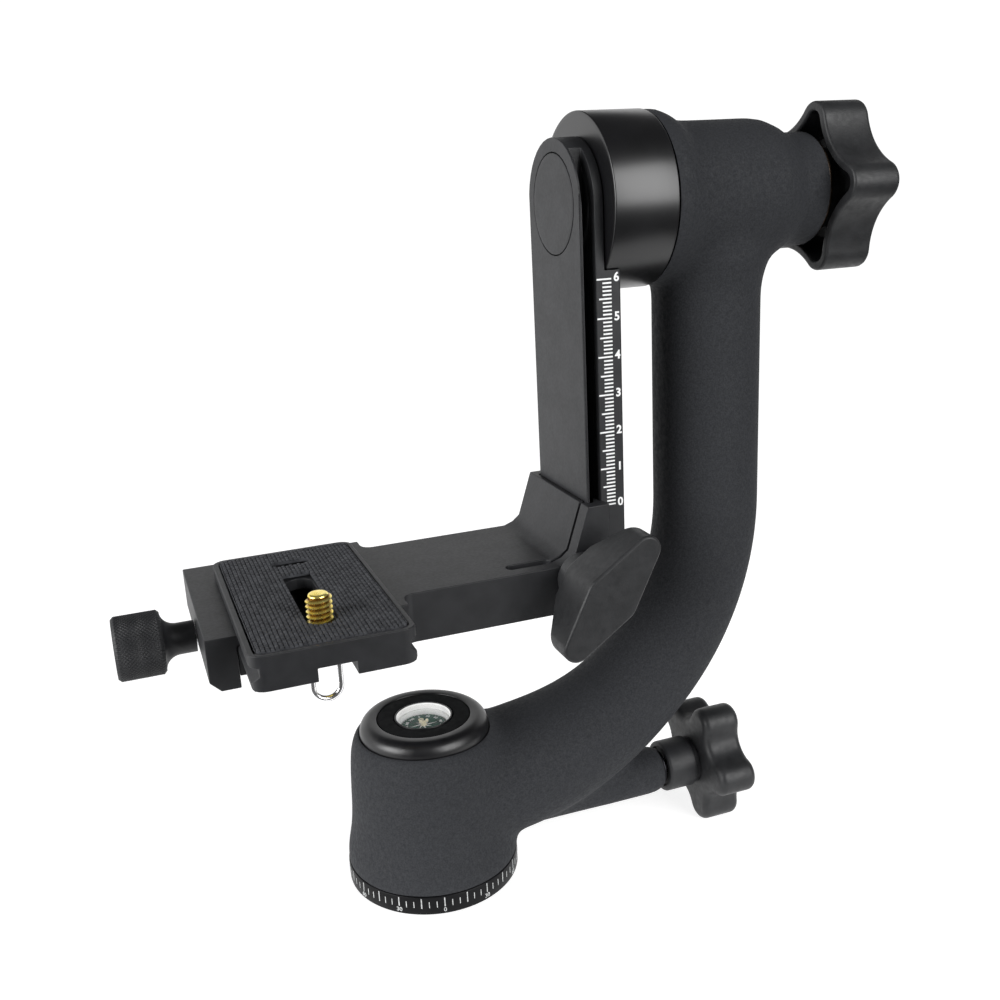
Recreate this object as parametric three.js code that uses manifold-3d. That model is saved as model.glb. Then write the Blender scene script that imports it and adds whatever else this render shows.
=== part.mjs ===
// Gimbal head for long camera lenses: a panning base, a curved side arm and a swinging rail
// that carries an L-shaped platform with a quick-release clamp.
// Millimetres. The origin is the centre of the base ring's underside, +Z runs up the pan axis,
// the tilt axis is parallel to X and the user stands at -Y.
import * as THREE from "three";
import { mergeVertices } from "three/addons/utils/BufferGeometryUtils.js";
import Module from "manifold-3d";

const wasm = await Module();
wasm.setup();

// Clearances shared by all the pieces
const gap = 0.3;
const overrun = 1;
const overlap = 0.5;
const weldTolerance = 1e-4;
const slotSideFlat = 0.1;

// Counts
const ringSides = 40;
const roundSides = 32;
const innerSides = 20;
const smallSides = 16;
const pinSides = 10;
const hexSides = 6;
const notchSides = 4;
const bendSteps = 11;
const arcSteps = 5;
const lobeCount = 5;
const baseScrewCount = 3;
const ballRowSides = 6;
const bevelSteps = 2;

// Base ring, its flanged spindle and the threaded bush for the tripod stud
const baseRadius = 24.7;
const baseHeight = 5.6;
const baseEdge = 0.5;
const flangeRadius = 14.4;
const flangeThickness = 2.3;
const bushRadius = 7;
const bushBore = 4.2;
const bushHeight = 11.2;
const bushSlotWidth = 1.6;
const bushSlotDepth = 1.4;
const spindleRadius = 9;
const spindleThreadRadius = 8;
const spindleHeight = 38.4;
const spindleThreadLength = 4.9;
const brakeGrooveDepth = 0.8;
const brakeGrooveHalfWidth = 2.6;
const baseScrewCircle = 11;
const screwHeadRadius = 2.7;
const screwShankRadius = 1.4;
const screwHeadHeight = 1.4;
const screwLength = 5;
const screwSocketRadius = 1;
const screwSocketDepth = 0.8;

// Column of the arm casting
const columnSeam = 0.4;
const columnSwellShares = [1, 0.9314, 0.7484, 0.6112, 0.5426, 0.4603, 0.3505, 0.1767];
const columnHeightShares = [0.05, 0.12, 0.22, 0.38, 0.54, 0.74, 0.88, 0.965];
const washerBore = 15.2;
const washerMargin = 3.7;
const washerThickness = 1;
const columnRimWall = 0.6;
const panBushWall = 2.4;
const panBushBottom = 7.6;
const panBushLowerTop = 10;
const panBushUpperBottom = 19.5;
const panBushDrop = 0.4;
const columnRelief = 1.4;
const nutCavityRadius = 13.2;
const spindleStandOut = 1.2;
const springWasherThickness = 0.8;
const nutRadius = 12.6;
const nutThickness = 2.4;
const nutNotchWidth = 2.4;
const nutNotchDepth = 1.8;
const nutNotchCount = 4;

// Cap ring, its inlay and the compass
const capRadius = 18.4;
const capRise = 9.9;
const capShoulderDrop = 4.3;
const capSkirtDrop = 6.8;
const capRoundDrop = 3.7;
const capSpigotRadius = 15.8;
const capSpigotDrop = 10.8;
const capLedgeRadius = 12.2;
const capLedgeDrop = 4.1;
const capFlatRadius = 15.2;
const inlayRadius = 13.3;
const inlayDrop = 0.2;
const compassRadius = 8.2;
const compassDepth = 8.7;
const compassFlangeRadius = 9.6;
const compassFlangeThickness = 1.3;
const compassWall = 0.8;
const compassFloor = 1.2;
const lensSeatDepth = 1.8;
const lensRimThickness = 1.2;
const lensDome = 1.5;
const lensThickness = 0.8;
const dialRadius = 6.3;
const dialThickness = 0.5;
const dialDrop = 4.7;
const dialHubRadius = 1.1;
const dialHubThickness = 0.6;
const pivotRadius = 0.6;

// Curved tube of the arm casting
const armX = 91.1;
const armRadius = 15.2;
const armRootRadius = 18.2;
const armRootLift = 1.3;
const armBendRadius = 76.6;
const armBendHeight = 100;
const armRunStart = 4;
const armBendShare = 0.93;
const armSwellStartShare = 0.52;
const armFlareRadius = 17.6;
const armFlareBottom = 158;
const armFlareTop = 169;

// Pan lock: boss on the casting, brake pad, screw and star knob
const panLockHeight = 13;
const bossRadius = 7.3;
const bossEndRadius = 6.4;
const bossTaper = 4.4;
const bossEnd = 73.8;
const bossRoundShare = 0.55;
const bossDropShare = 0.3;
const padTipShare = 0.33;
const panScrewRadius = 3;
const panPadTip = 8.6;
const panPadLength = 6;
const lockWasherRadius = 5.8;
const lockWasherThickness = 0.8;
const panHubRadius = 7.8;
const panHubLength = 10.6;
const panHubRecessRadius = 6.2;
const panHubRecessDepth = 1.1;
const panHubEdge = 0.9;
const panKnobRadius = 19.5;
const panKnobLobeRadius = 5.2;
const panKnobValleyRadius = 13.2;
const panKnobThickness = 12.4;
const panKnobEdge = 1.8;
const panScrewReach = 7;

// Tilt housing at the top of the arm casting
const tiltHeight = 186;
const housingStart = 70.6;
const housingRadius = 19.7;
const housingLipRadius = 22.9;
const housingLipLength = 3;
const housingLipFall = 7.4;
const lipFallShares = [0.35, 0.7];
const lipDropShares = [0.3, 0.75];
const housingShoulderStart = 102.5;
const neckStart = 113.8;
const neckRadius = 15.5;
const shoulderLengthShares = [0.3, 0.62, 0.88];
const shoulderDropShares = [0.12, 0.45, 0.85];
const neckEnd = 120.6;
const axleRadius = 8.5;
const axleStart = 54;
const axleEnd = 120.4;
const axleThreadRadius = 5;
const axleThreadEnd = 133;
const axleRelief = 1.4;
const bearingWidth = 5;
const bearingFrontStart = 71.6;
const bearingRearStart = 115.2;
const innerRaceWall = 1.4;
const ballRowRadius = 0.6;
const outerRaceWall = 1.4;

// Tilt knob with its threaded insert and thrust washer
const tiltKnobRadius = 23.8;
const tiltKnobLobeRadius = 5.4;
const tiltKnobValleyRadius = 17.7;
const tiltKnobAngle = 3.06;
const tiltKnobEnd = 137.4;
const tiltKnobWall = 2.6;
const tiltKnobCap = 3.4;
const tiltKnobEdge = 1.3;
const tiltKnobHubRadius = 11;
const tiltNutRadius = 6.6;
const tiltNutLength = 8.2;
const tiltWasherRadius = 14.9;
const tiltWasherThickness = 1;

// Drum and rail that swing about the tilt axis
const drumRadius = 23.1;
const drumStart = 52.2;
const drumEnd = 70.2;
const drumEdge = 0.5;
const railFront = 45.33;
const railTopBack = 51.9;
const railBack = 56.45;
const railHalfWidth = 16.75;
const railBottom = 80.3;
const railEdge = 0.4;
const grooveFront = 46.4;
const grooveFloorFront = 48;
const grooveBack = 49.4;
const grooveHalfWidth = 13.2;
const grooveTop = 184;
const grooveCutterRadius = 6.5;
const coverRadius = 12.9;
const coverThickness = 1.3;
const boltRadius = 4;
const boltHeadRadius = 6.4;
const boltHeadHeight = 2.4;
const boltLength = 16;
const boltSocketRadius = 2.9;
const boltSocketDepth = 1.4;
const dowelRadius = 1.5;
const dowelOffset = 12;
const dowelDepth = 3.4;
const stopScrewHeight = 84.6;
const stopScrewRadius = 1.5;
const stopScrewHeadRadius = 2.8;
const stopScrewHeadHeight = 1.6;
const stopScrewDepth = 5;

// L-shaped platform that rides on the rail
const bracketBack = 50;
const bracketHalfWidth = 20.6;
const bracketTop = 108.8;
const bracketTopFront = 43.7;
const bracketSlopeFoot = 39.5;
const bracketSlopeFootHeight = 96.2;
const bracketFacetEnd = 34.6;
const facetLengthShare = 0.45;
const facetDropShare = 0.65;
const platformTop = 93.5;
const platformThickness = 13.45;
const slitCentre = 15.4;
const slitWidth = 1.2;
const slotStart = 22;
const slotEnd = 34.6;
const slotCentre = 14.7;
const slotWidth = 3.4;
const jawHalfLength = 27.4;
const fixedJawEnd = -8.7;
const fixedJawFillet = 3;

// Quick-release plate and its rubber pad
const plateX = -31.8;
const plateTop = 97;
const plateBottom = 88.4;
const plateNear = -50.3;
const plateFar = 19.2;
const plateHalfWidth = 19.2;
const plateCorner = 3.6;
const plateEdge = 0.4;
const plateFlangeHalfWidth = 19;
const plateFlangeTop = 90.4;
const plateWaistHalfWidth = 17.2;
const plateOverhangBottom = 94;
const padInset = 1.5;
const padDepth = 1;
const padThickness = 1.1;
const padSlotMargin = 0.4;
const screwSlotHalfWidth = 3.45;
const screwSlotNear = -38.6;
const screwSlotFar = -2.6;
const headSlotHalfWidth = 6.8;
const headSlotDepth = 4.6;
const headSlotNear = -42;
const headSlotFar = 3;
const notchHalfWidth = 4.5;
const notchDepth = 3.2;
const pinSlotY = 7.6;
const pinSlotLength = 9.6;
const pinSlotWidth = 3;

// Camera screw with its folding ring
const cameraScrewY = -33.2;
const cameraScrewRadius = 3.175;
const cameraScrewTop = 103.3;
const cameraScrewEdge = 0.7;
const slotWasherRadius = 6;
const slotWasherThickness = 0.6;
const screwDiscRadius = 6.2;
const screwDiscThickness = 1.3;
const lugHalfWidth = 2.4;
const lugHalfLength = 1.9;
const lugBottom = 88.8;
const ringWireRadius = 0.75;
const ringHalfWidth = 3.4;
const ringLength = 10.6;
const ringPinInner = 1;

// Movable jaw, its guide pins and the knurled clamp knob
const clampAxisDrop = 3.7;
const jawOuter = -58.4;
const jawChamfer = 2.6;
const jawFloorGap = 0.6;
const guidePinRadius = 1.6;
const guidePinOffset = 14;
const guidePinEnd = -57.4;
const guidePinInner = -36;
const clampScrewRadius = 2.5;
const clampScrewInner = -34;
const clampKnobRadius = 8.34;
const clampKnobEnd = -78.7;
const clampKnobShoulder = -66.8;
const clampNeckRadius = 4.1;
const clampNeckStart = -63;
const clampKnobEdge = 0.9;
const clampDimpleRadius = 4.6;
const clampDimpleDepth = 0.6;
const clampScrewHeadReach = 13;

// Wing knob that squeezes the slit side of the platform on to the rail
const wingX = 41;
const wingHeight = 90;
const wingNear = -40.5;
const wingBack = -25.2;
const wingTipBack = -32.4;
const wingHalfLength = 19.1;
const wingHalfWidth = 7.7;
const wingTipRadius = 3.8;
const wingSideRadius = 6;
const wingEdge = 0.7;
const wingAngle = 0.856;
const wingCollarRadius = 7;
const wingCollarStart = -20.9;
const wingStudRadius = 3;
const wingStudInner = -5;
const wingStudReach = 9;

// Heights and places that follow from the sizes above
const spindleShoulderHeight = spindleHeight - spindleThreadLength;
const panBushUpperTop = spindleShoulderHeight - panBushDrop;
const nutCavityHeight = spindleHeight - spindleStandOut;
const capTop = spindleHeight + capRise;
const columnShoulderHeight = capTop - capShoulderDrop;
const capSkirtBottom = capTop - capSkirtDrop;
const capSkirtTop = capTop - capRoundDrop;
const capSpigotBottom = capTop - capSpigotDrop;
const capLedgeHeight = capTop - capLedgeDrop;
const compassBottom = capTop - compassDepth;
const dialHeight = capTop - dialDrop;
const columnBottom = baseHeight + columnSeam;
const washerRadius = baseRadius - washerMargin;
const tiltKnobStart = neckEnd + gap + tiltWasherThickness + gap;
const platformBottom = platformTop - platformThickness;
const clampFloor = plateBottom - gap;
const clampAxisHeight = clampFloor - clampAxisDrop;
const jawFaceOffset = plateFlangeHalfWidth + gap;
const jawLipOffset = plateWaistHalfWidth + gap;
const jawLipHeight = plateFlangeTop + (jawFaceOffset - jawLipOffset);
const plateCeiling = plateBottom + headSlotDepth;
const plateRecess = plateTop - padDepth;
const screwDiscTop = plateCeiling - gap - slotWasherThickness - gap;
const screwDiscBottom = screwDiscTop - screwDiscThickness;
const screwPivotHeight = (lugBottom + screwDiscBottom) / 2;
const inlayTop = capTop - inlayDrop;

// Surface finishes of the metal, plastic and rubber pieces
function finish(color, roughness, metalness) {
  return new THREE.MeshStandardMaterial({ color, roughness, metalness });
}

const coatedCasting = finish(0x2b2d2f, 0.9, 0);
const satinBlack = finish(0x1b1c1f, 0.38, 0.6);
const mattBlack = finish(0x3a3b3e, 0.55, 0.4);
const glossBlack = finish(0x101012, 0.18, 0.1);
const knobPlastic = finish(0x26282a, 0.5, 0);
const padRubber = finish(0x1d1e20, 0.85, 0);
const steel = finish(0xb9bcc0, 0.3, 1);
const brass = finish(0xd8b24a, 0.25, 1);
const bronze = finish(0xa9793f, 0.4, 1);
const nylon = finish(0xe6e4da, 0.6, 0);
const clearGlass = finish(0xdfe8ea, 0.05, 0);
const dialGreen = finish(0x1f6b4a, 0.6, 0);

// A closed geometry becomes a solid with its faces pointing out
function solid(geometry) {
  const bare = geometry.index ? geometry.toNonIndexed() : geometry.clone();
  bare.deleteAttribute("normal");
  bare.deleteAttribute("uv");
  const merged = mergeVertices(bare, weldTolerance);
  const corners = new Uint32Array(merged.index.array);
  const vertProperties = new Float32Array(merged.attributes.position.array);
  const made = new wasm.Manifold(new wasm.Mesh({ numProp: 3, vertProperties, triVerts: corners }));
  if (made.volume() > 0) {
    return made;
  }
  for (let i = 0; i < corners.length; i += 3) {
    [corners[i + 1], corners[i + 2]] = [corners[i + 2], corners[i + 1]];
  }
  return new wasm.Manifold(new wasm.Mesh({ numProp: 3, vertProperties, triVerts: corners }));
}

function join(...pieces) {
  return pieces.reduce((whole, piece) => whole.add(piece));
}

function cut(whole, ...tools) {
  return tools.reduce((rest, tool) => rest.subtract(tool), whole);
}

function common(first, second) {
  return first.intersect(second);
}

// A named sub-part from a finished solid
function subPart(name, body, material) {
  const data = body.getMesh();
  const count = data.numProp;
  const positions = new Float32Array(data.numVert * 3);
  for (let i = 0; i < data.numVert; i += 1) {
    positions.set(data.vertProperties.subarray(i * count, i * count + 3), i * 3);
  }
  const geometry = new THREE.BufferGeometry();
  geometry.setAttribute("position", new THREE.BufferAttribute(positions, 3));
  geometry.setIndex(new THREE.BufferAttribute(new Uint32Array(data.triVerts), 1));
  geometry.computeVertexNormals();
  const mesh = new THREE.Mesh(geometry, material);
  mesh.name = name;
  return mesh;
}

// Turned pieces: a closed profile of [radius, distance along the axis]
function turned(profile, sides) {
  const points = profile.map(([radius, along]) => new THREE.Vector2(radius, along));
  points.push(points[0].clone());
  return new THREE.LatheGeometry(points, sides);
}

function turnedZ(profile, sides = roundSides) {
  return solid(turned(profile, sides).rotateX(Math.PI / 2));
}

function turnedX(profile, height, y = 0, sides = roundSides) {
  return solid(turned(profile, sides).rotateZ(-Math.PI / 2).translate(0, y, height));
}

function turnedY(profile, x, height, sides = smallSides) {
  return solid(turned(profile, sides).translate(x, 0, height));
}

function rodProfile(radius, from, to) {
  return [[0, from], [radius, from], [radius, to], [0, to]];
}

function tubeProfile(inner, outer, from, to) {
  return [[inner, from], [outer, from], [outer, to], [inner, to]];
}

function rodX(radius, from, to, height, y = 0, sides = smallSides) {
  return turnedX(rodProfile(radius, from, to), height, y, sides);
}

function tubeX(inner, outer, from, to, height, sides = innerSides) {
  return turnedX(tubeProfile(inner, outer, from, to), height, 0, sides);
}

function rodY(radius, from, to, x, height, sides = smallSides) {
  return turnedY(rodProfile(radius, from, to), x, height, sides);
}

function rodZ(radius, from, to, x = 0, y = 0, sides = smallSides) {
  return turnedZ(rodProfile(radius, from, to), sides).translate([x, y, 0]);
}

function tubeZ(inner, outer, from, to, sides = innerSides) {
  return turnedZ(tubeProfile(inner, outer, from, to), sides);
}

function block(low, high) {
  const size = high.map((value, i) => value - low[i]);
  const middle = high.map((value, i) => (value + low[i]) / 2);
  return solid(new THREE.BoxGeometry(...size).translate(...middle));
}

// Part of a circle as points, both ends included
function arcPoints(centre, radius, from, to, steps = arcSteps) {
  const points = [];
  for (let i = 0; i <= steps; i += 1) {
    const angle = from + ((to - from) * i) / steps;
    points.push([centre[0] + radius * Math.cos(angle), centre[1] + radius * Math.sin(angle)]);
  }
  return points;
}

function shapeOf(points) {
  return new THREE.Shape(points.map(([x, y]) => new THREE.Vector2(x, y)));
}

// An outline whose corners [x, y, radius] are rounded by arcs
function roundedOutline(corners, steps = arcSteps) {
  const points = [];
  corners.forEach(([x, y, radius], i) => {
    const [beforeX, beforeY] = corners[(i + corners.length - 1) % corners.length];
    const [afterX, afterY] = corners[(i + 1) % corners.length];
    const here = new THREE.Vector2(x, y);
    const back = new THREE.Vector2(beforeX, beforeY).sub(here).normalize();
    const ahead = new THREE.Vector2(afterX, afterY).sub(here).normalize();
    if (!radius) {
      points.push([x, y]);
      return;
    }
    const half = Math.acos(back.dot(ahead)) / 2;
    const middle = back.clone().add(ahead).normalize();
    const centre = here.clone().addScaledVector(middle, radius / Math.sin(half));
    const first = here.clone().addScaledVector(back, radius / Math.tan(half)).sub(centre);
    const sweep = (Math.PI - 2 * half) * Math.sign(ahead.cross(back));
    for (let step = 0; step <= steps; step += 1) {
      const turn = first.clone().rotateAround(new THREE.Vector2(), (sweep * step) / steps);
      points.push([centre.x + turn.x, centre.y + turn.y]);
    }
  });
  return points;
}

function rectangle(lowX, highX, lowY, highY, radius = 0) {
  return roundedOutline([
    [lowX, lowY, radius],
    [highX, lowY, radius],
    [highX, highY, radius],
    [lowX, highY, radius],
  ]);
}

// Prisms: an outline in one plane, pulled along the axis square to it
function prismZ(points, from, to) {
  const geometry = new THREE.ExtrudeGeometry(shapeOf(points), { depth: to - from, bevelEnabled: false });
  return solid(geometry.translate(0, 0, from));
}

function prismY(points, from, to) {
  const geometry = new THREE.ExtrudeGeometry(shapeOf(points), { depth: to - from, bevelEnabled: false });
  return solid(geometry.rotateX(Math.PI / 2).translate(0, to, 0));
}

const planeToX = new THREE.Matrix4().makeBasis(
  new THREE.Vector3(0, 1, 0),
  new THREE.Vector3(0, 0, 1),
  new THREE.Vector3(1, 0, 0),
);

function prismX(points, from, to) {
  const geometry = new THREE.ExtrudeGeometry(shapeOf(points), { depth: to - from, bevelEnabled: false });
  return solid(geometry.applyMatrix4(planeToX).translate(from, 0, 0));
}

// A prism with its end edges rounded, from one end to the other
function softPrism(points, length, edge) {
  return new THREE.ExtrudeGeometry(shapeOf(points), {
    depth: length - 2 * edge,
    bevelEnabled: true,
    bevelThickness: edge,
    bevelSize: edge,
    bevelOffset: -edge,
    bevelSegments: bevelSteps,
  }).translate(0, 0, edge);
}

// A skin through equal rings of points, closed at both ends
function loft(rings) {
  const sides = rings[0].length;
  const positions = rings.flat().flatMap((point) => [point.x, point.y, point.z]);
  const index = [];
  rings.slice(1).forEach((ring, r) => {
    for (let i = 0; i < sides; i += 1) {
      const next = (i + 1) % sides;
      const low = r * sides;
      const high = low + sides;
      index.push(low + i, low + next, high + next, low + i, high + next, high + i);
    }
  });
  const last = (rings.length - 1) * sides;
  for (let i = 1; i < sides - 1; i += 1) {
    index.push(0, i + 1, i, last, last + i, last + i + 1);
  }
  const geometry = new THREE.BufferGeometry();
  geometry.setAttribute("position", new THREE.Float32BufferAttribute(positions, 3));
  geometry.setIndex(index);
  return solid(geometry);
}

// Star outline: round lobes joined by hollows that meet them tangentially
function starOutline(tipRadius, lobeRadius, valleyRadius, turn) {
  const lobeCentre = tipRadius - lobeRadius;
  const half = Math.PI / lobeCount;
  const reach = lobeCentre * Math.cos(half);
  const hollowRadius =
    (lobeRadius ** 2 - valleyRadius ** 2 - lobeCentre ** 2 + 2 * valleyRadius * reach) /
    (2 * (valleyRadius - reach - lobeRadius));
  const hollowCentre = valleyRadius + hollowRadius;
  const across = hollowCentre * Math.sin(half);
  const along = hollowCentre * Math.cos(half) - lobeCentre;
  const lean = Math.atan2(across, along);
  const hollowSweep = lean - half;
  const points = [];
  for (let lobe = 0; lobe < lobeCount; lobe += 1) {
    const angle = turn + 2 * half * lobe;
    const tip = [lobeCentre * Math.cos(angle), lobeCentre * Math.sin(angle)];
    points.push(...arcPoints(tip, lobeRadius, angle - lean, angle + lean, arcSteps + 1));
    const between = angle + half;
    const hollow = [hollowCentre * Math.cos(between), hollowCentre * Math.sin(between)];
    const facing = between + Math.PI;
    const bow = arcPoints(hollow, hollowRadius, facing + hollowSweep, facing - hollowSweep, arcSteps);
    points.push(...bow.slice(1, -1));
  }
  return points;
}

function regularOutline(sides, radius, x = 0, y = 0) {
  return arcPoints([x, y], radius, 0, 2 * Math.PI, sides).slice(0, -1);
}

// Panning base

function baseScrewPlaces() {
  return regularOutline(baseScrewCount, baseScrewCircle);
}

// Countersunk hole of a base screw, open below
function screwHoleProfile(depth) {
  return [
    [0, -overrun],
    [screwHeadRadius + gap, -overrun],
    [screwHeadRadius + gap, gap],
    [screwShankRadius + gap, gap + screwHeadHeight],
    [screwShankRadius + gap, depth],
    [0, depth],
  ];
}

function baseRing() {
  const seat = baseHeight - flangeThickness - gap;
  const ring = turnedZ([
    [bushRadius + gap, 0],
    [baseRadius - baseEdge, 0],
    [baseRadius, baseEdge],
    [baseRadius, baseHeight - baseEdge],
    [baseRadius - baseEdge, baseHeight],
    [flangeRadius + gap, baseHeight],
    [flangeRadius + gap, seat],
    [bushRadius + gap, seat],
  ], ringSides);
  const holes = baseScrewPlaces().map(([x, y]) =>
    turnedZ(screwHoleProfile(seat + overrun), smallSides).translate([x, y, 0]),
  );
  return cut(ring, ...holes);
}

function baseScrew([x, y]) {
  const body = turnedZ([
    [0, gap],
    [screwHeadRadius - gap, gap],
    [screwShankRadius - gap, gap + screwHeadHeight],
    [screwShankRadius - gap, screwLength],
    [0, screwLength],
  ], smallSides);
  const socket = prismZ(regularOutline(hexSides, screwSocketRadius), gap - overrun, gap + screwSocketDepth);
  return cut(body, socket).translate([x, y, 0]);
}

function panSpindle() {
  const flangeBottom = baseHeight - flangeThickness;
  const socketTop = gap + bushHeight + gap;
  const post = turnedZ([
    [bushRadius + gap, flangeBottom],
    [flangeRadius, flangeBottom],
    [flangeRadius, baseHeight],
    [spindleRadius, baseHeight],
    [spindleRadius, panLockHeight - brakeGrooveHalfWidth],
    [spindleRadius - brakeGrooveDepth, panLockHeight],
    [spindleRadius, panLockHeight + brakeGrooveHalfWidth],
    [spindleRadius, spindleShoulderHeight],
    [spindleThreadRadius, spindleShoulderHeight],
    [spindleThreadRadius, spindleHeight - baseEdge],
    [spindleThreadRadius - baseEdge, spindleHeight],
    [0, spindleHeight],
    [0, socketTop],
    [bushRadius + gap, socketTop],
  ], innerSides);
  const holes = baseScrewPlaces().map(([x, y]) => rodZ(screwShankRadius, -overrun, screwLength + gap, x, y));
  return cut(post, ...holes);
}

function tripodBush() {
  const bush = tubeZ(bushBore, bushRadius, gap, gap + bushHeight);
  const slot = block(
    [-bushRadius - overrun, -bushSlotWidth / 2, gap - overrun],
    [bushRadius + overrun, bushSlotWidth / 2, gap + bushSlotDepth],
  );
  return cut(bush, slot);
}

function panNut() {
  const bottom = spindleShoulderHeight + gap + springWasherThickness + gap;
  const nut = tubeZ(spindleThreadRadius + gap, nutRadius, bottom, bottom + nutThickness);
  const notches = regularOutline(nutNotchCount, nutRadius).map(([x, y]) =>
    prismZ(
      regularOutline(notchSides, nutNotchWidth, x, y),
      bottom + nutThickness - nutNotchDepth,
      bottom + nutThickness + overrun,
    ),
  );
  return cut(nut, ...notches);
}

function springWasher() {
  const bottom = spindleShoulderHeight + gap;
  return tubeZ(spindleThreadRadius + gap, nutCavityRadius - gap, bottom, bottom + springWasherThickness);
}

// Arm casting

function columnOutside() {
  const height = columnShoulderHeight - columnBottom;
  const rim = capRadius + gap + columnRimWall;
  const side = columnSwellShares.map((share, i) => [
    rim + (baseRadius - rim) * share,
    columnBottom + height * columnHeightShares[i],
  ]);
  return turnedZ([
    [0, columnBottom],
    [baseRadius, columnBottom],
    ...side,
    [rim, columnShoulderHeight],
    [0, columnShoulderHeight],
  ]);
}

function armTube() {
  const rings = [];
  const ring = (x, z, leanAngle, radius) => {
    const across = new THREE.Vector3(Math.cos(leanAngle), 0, Math.sin(leanAngle));
    const points = [];
    for (let i = 0; i < roundSides; i += 1) {
      const angle = (2 * Math.PI * i) / roundSides;
      const point = new THREE.Vector3(x, 0, z);
      point.addScaledVector(across, radius * Math.cos(angle));
      point.y = radius * Math.sin(angle);
      points.push(point);
    }
    rings.push(points);
  };
  const bendX = armX - armBendRadius;
  const sweep = (armBendShare * Math.PI) / 2;
  const rootHeight = armBendHeight - armBendRadius * Math.sin(sweep) + armRootLift;
  ring(armRunStart, rootHeight, -Math.PI / 2, armRootRadius);
  for (let i = bendSteps; i >= 0; i -= 1) {
    const share = i / bendSteps;
    const angle = share * sweep;
    const swell = THREE.MathUtils.smoothstep(share, armSwellStartShare, 1);
    const radius = THREE.MathUtils.lerp(armRadius, armRootRadius, swell);
    ring(
      bendX + armBendRadius * Math.cos(angle),
      armBendHeight - armBendRadius * Math.sin(angle) + armRootLift * swell,
      -angle,
      radius,
    );
  }
  ring(armX, armFlareBottom, 0, armRadius);
  const flareSteps = arcSteps - 2;
  for (let i = 1; i <= flareSteps; i += 1) {
    const share = i / flareSteps;
    ring(
      armX,
      THREE.MathUtils.lerp(armFlareBottom, armFlareTop, share),
      0,
      THREE.MathUtils.lerp(armRadius, armFlareRadius, share * share),
    );
  }
  ring(armX, tiltHeight, 0, armRadius);
  return loft(rings);
}

function tiltHousing() {
  const lipEnd = housingStart + housingLipLength;
  const fallEnd = lipEnd + housingLipFall;
  const shoulder = neckStart - housingShoulderStart;
  const drop = housingRadius - neckRadius;
  return turnedX([
    [0, housingStart],
    [housingLipRadius - gap, housingStart],
    [housingLipRadius, housingStart + gap],
    [housingLipRadius, lipEnd],
    ...lipFallShares.map((share, i) => [
      THREE.MathUtils.lerp(housingLipRadius, housingRadius, lipDropShares[i]),
      lipEnd + share * housingLipFall,
    ]),
    [housingRadius, fallEnd],
    [housingRadius, housingShoulderStart],
    ...shoulderLengthShares.map((share, i) => [
      housingRadius - shoulderDropShares[i] * drop,
      housingShoulderStart + share * shoulder,
    ]),
    [neckRadius, neckStart],
    [neckRadius, neckEnd - gap],
    [neckRadius - gap, neckEnd],
    [0, neckEnd],
  ], tiltHeight);
}

function lockBoss() {
  const dropRadius = THREE.MathUtils.lerp(bossRadius, bossEndRadius, bossDropShare);
  const dropEnd = bossEnd - (1 - bossRoundShare) * bossTaper;
  return turnedX([
    [0, 0],
    [bossRadius, 0],
    [bossRadius, bossEnd - bossTaper],
    [dropRadius, dropEnd],
    [bossEndRadius, bossEnd - gap],
    [bossEndRadius - gap, bossEnd],
    [0, bossEnd],
  ], panLockHeight, 0, innerSides);
}

function columnBores() {
  const seat = spindleRadius + gap + panBushWall + gap;
  const ceiling = columnShoulderHeight + armRadius;
  const below = turnedZ(rodProfile(baseRadius + overrun, 0, columnBottom), innerSides);
  const inside = turnedZ([
    [0, columnBottom - overlap],
    [washerRadius + gap, columnBottom - overlap],
    [washerRadius + gap, columnBottom + washerThickness + gap],
    [seat, columnBottom + washerThickness + gap],
    [seat, panBushLowerTop + gap],
    [spindleRadius + columnRelief, panBushLowerTop + gap],
    [spindleRadius + columnRelief, panBushUpperBottom - gap],
    [seat, panBushUpperBottom - gap],
    [seat, panBushUpperTop + gap],
    [nutCavityRadius, panBushUpperTop + gap],
    [nutCavityRadius, ceiling],
    [0, ceiling],
  ], innerSides);
  const capSeat = turnedZ([
    [0, nutCavityHeight],
    [capSpigotRadius + gap, nutCavityHeight],
    [capSpigotRadius + gap, capSkirtBottom - gap],
    [capRadius + gap, capSkirtBottom - gap],
    [capRadius + gap, ceiling],
    [0, ceiling],
  ]);
  return join(below, inside, capSeat);
}

function housingBores() {
  const seat = axleRadius + gap + innerRaceWall + 2 * gap + 2 * ballRowRadius + outerRaceWall + gap;
  const relief = axleRadius + axleRelief;
  return turnedX([
    [0, housingStart - overrun],
    [seat, housingStart - overrun],
    [seat, bearingFrontStart + bearingWidth + gap],
    [relief, bearingFrontStart + bearingWidth + gap],
    [relief, bearingRearStart - gap],
    [seat, bearingRearStart - gap],
    [seat, neckEnd + overrun],
    [0, neckEnd + overrun],
  ], tiltHeight, 0, innerSides);
}

function armCasting() {
  const outside = join(columnOutside(), armTube(), tiltHousing(), lockBoss());
  const screwBore = rodX(panScrewRadius + gap, 0, bossEnd + overrun, panLockHeight);
  return cut(outside, columnBores(), housingBores(), screwBore);
}

function panBush(bottom, top) {
  const inner = spindleRadius + gap;
  return tubeZ(inner, inner + panBushWall, bottom, top);
}

function panWasher() {
  const bottom = baseHeight + gap;
  return tubeZ(washerBore, washerRadius, bottom, bottom + washerThickness);
}

// Cap and compass

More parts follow.
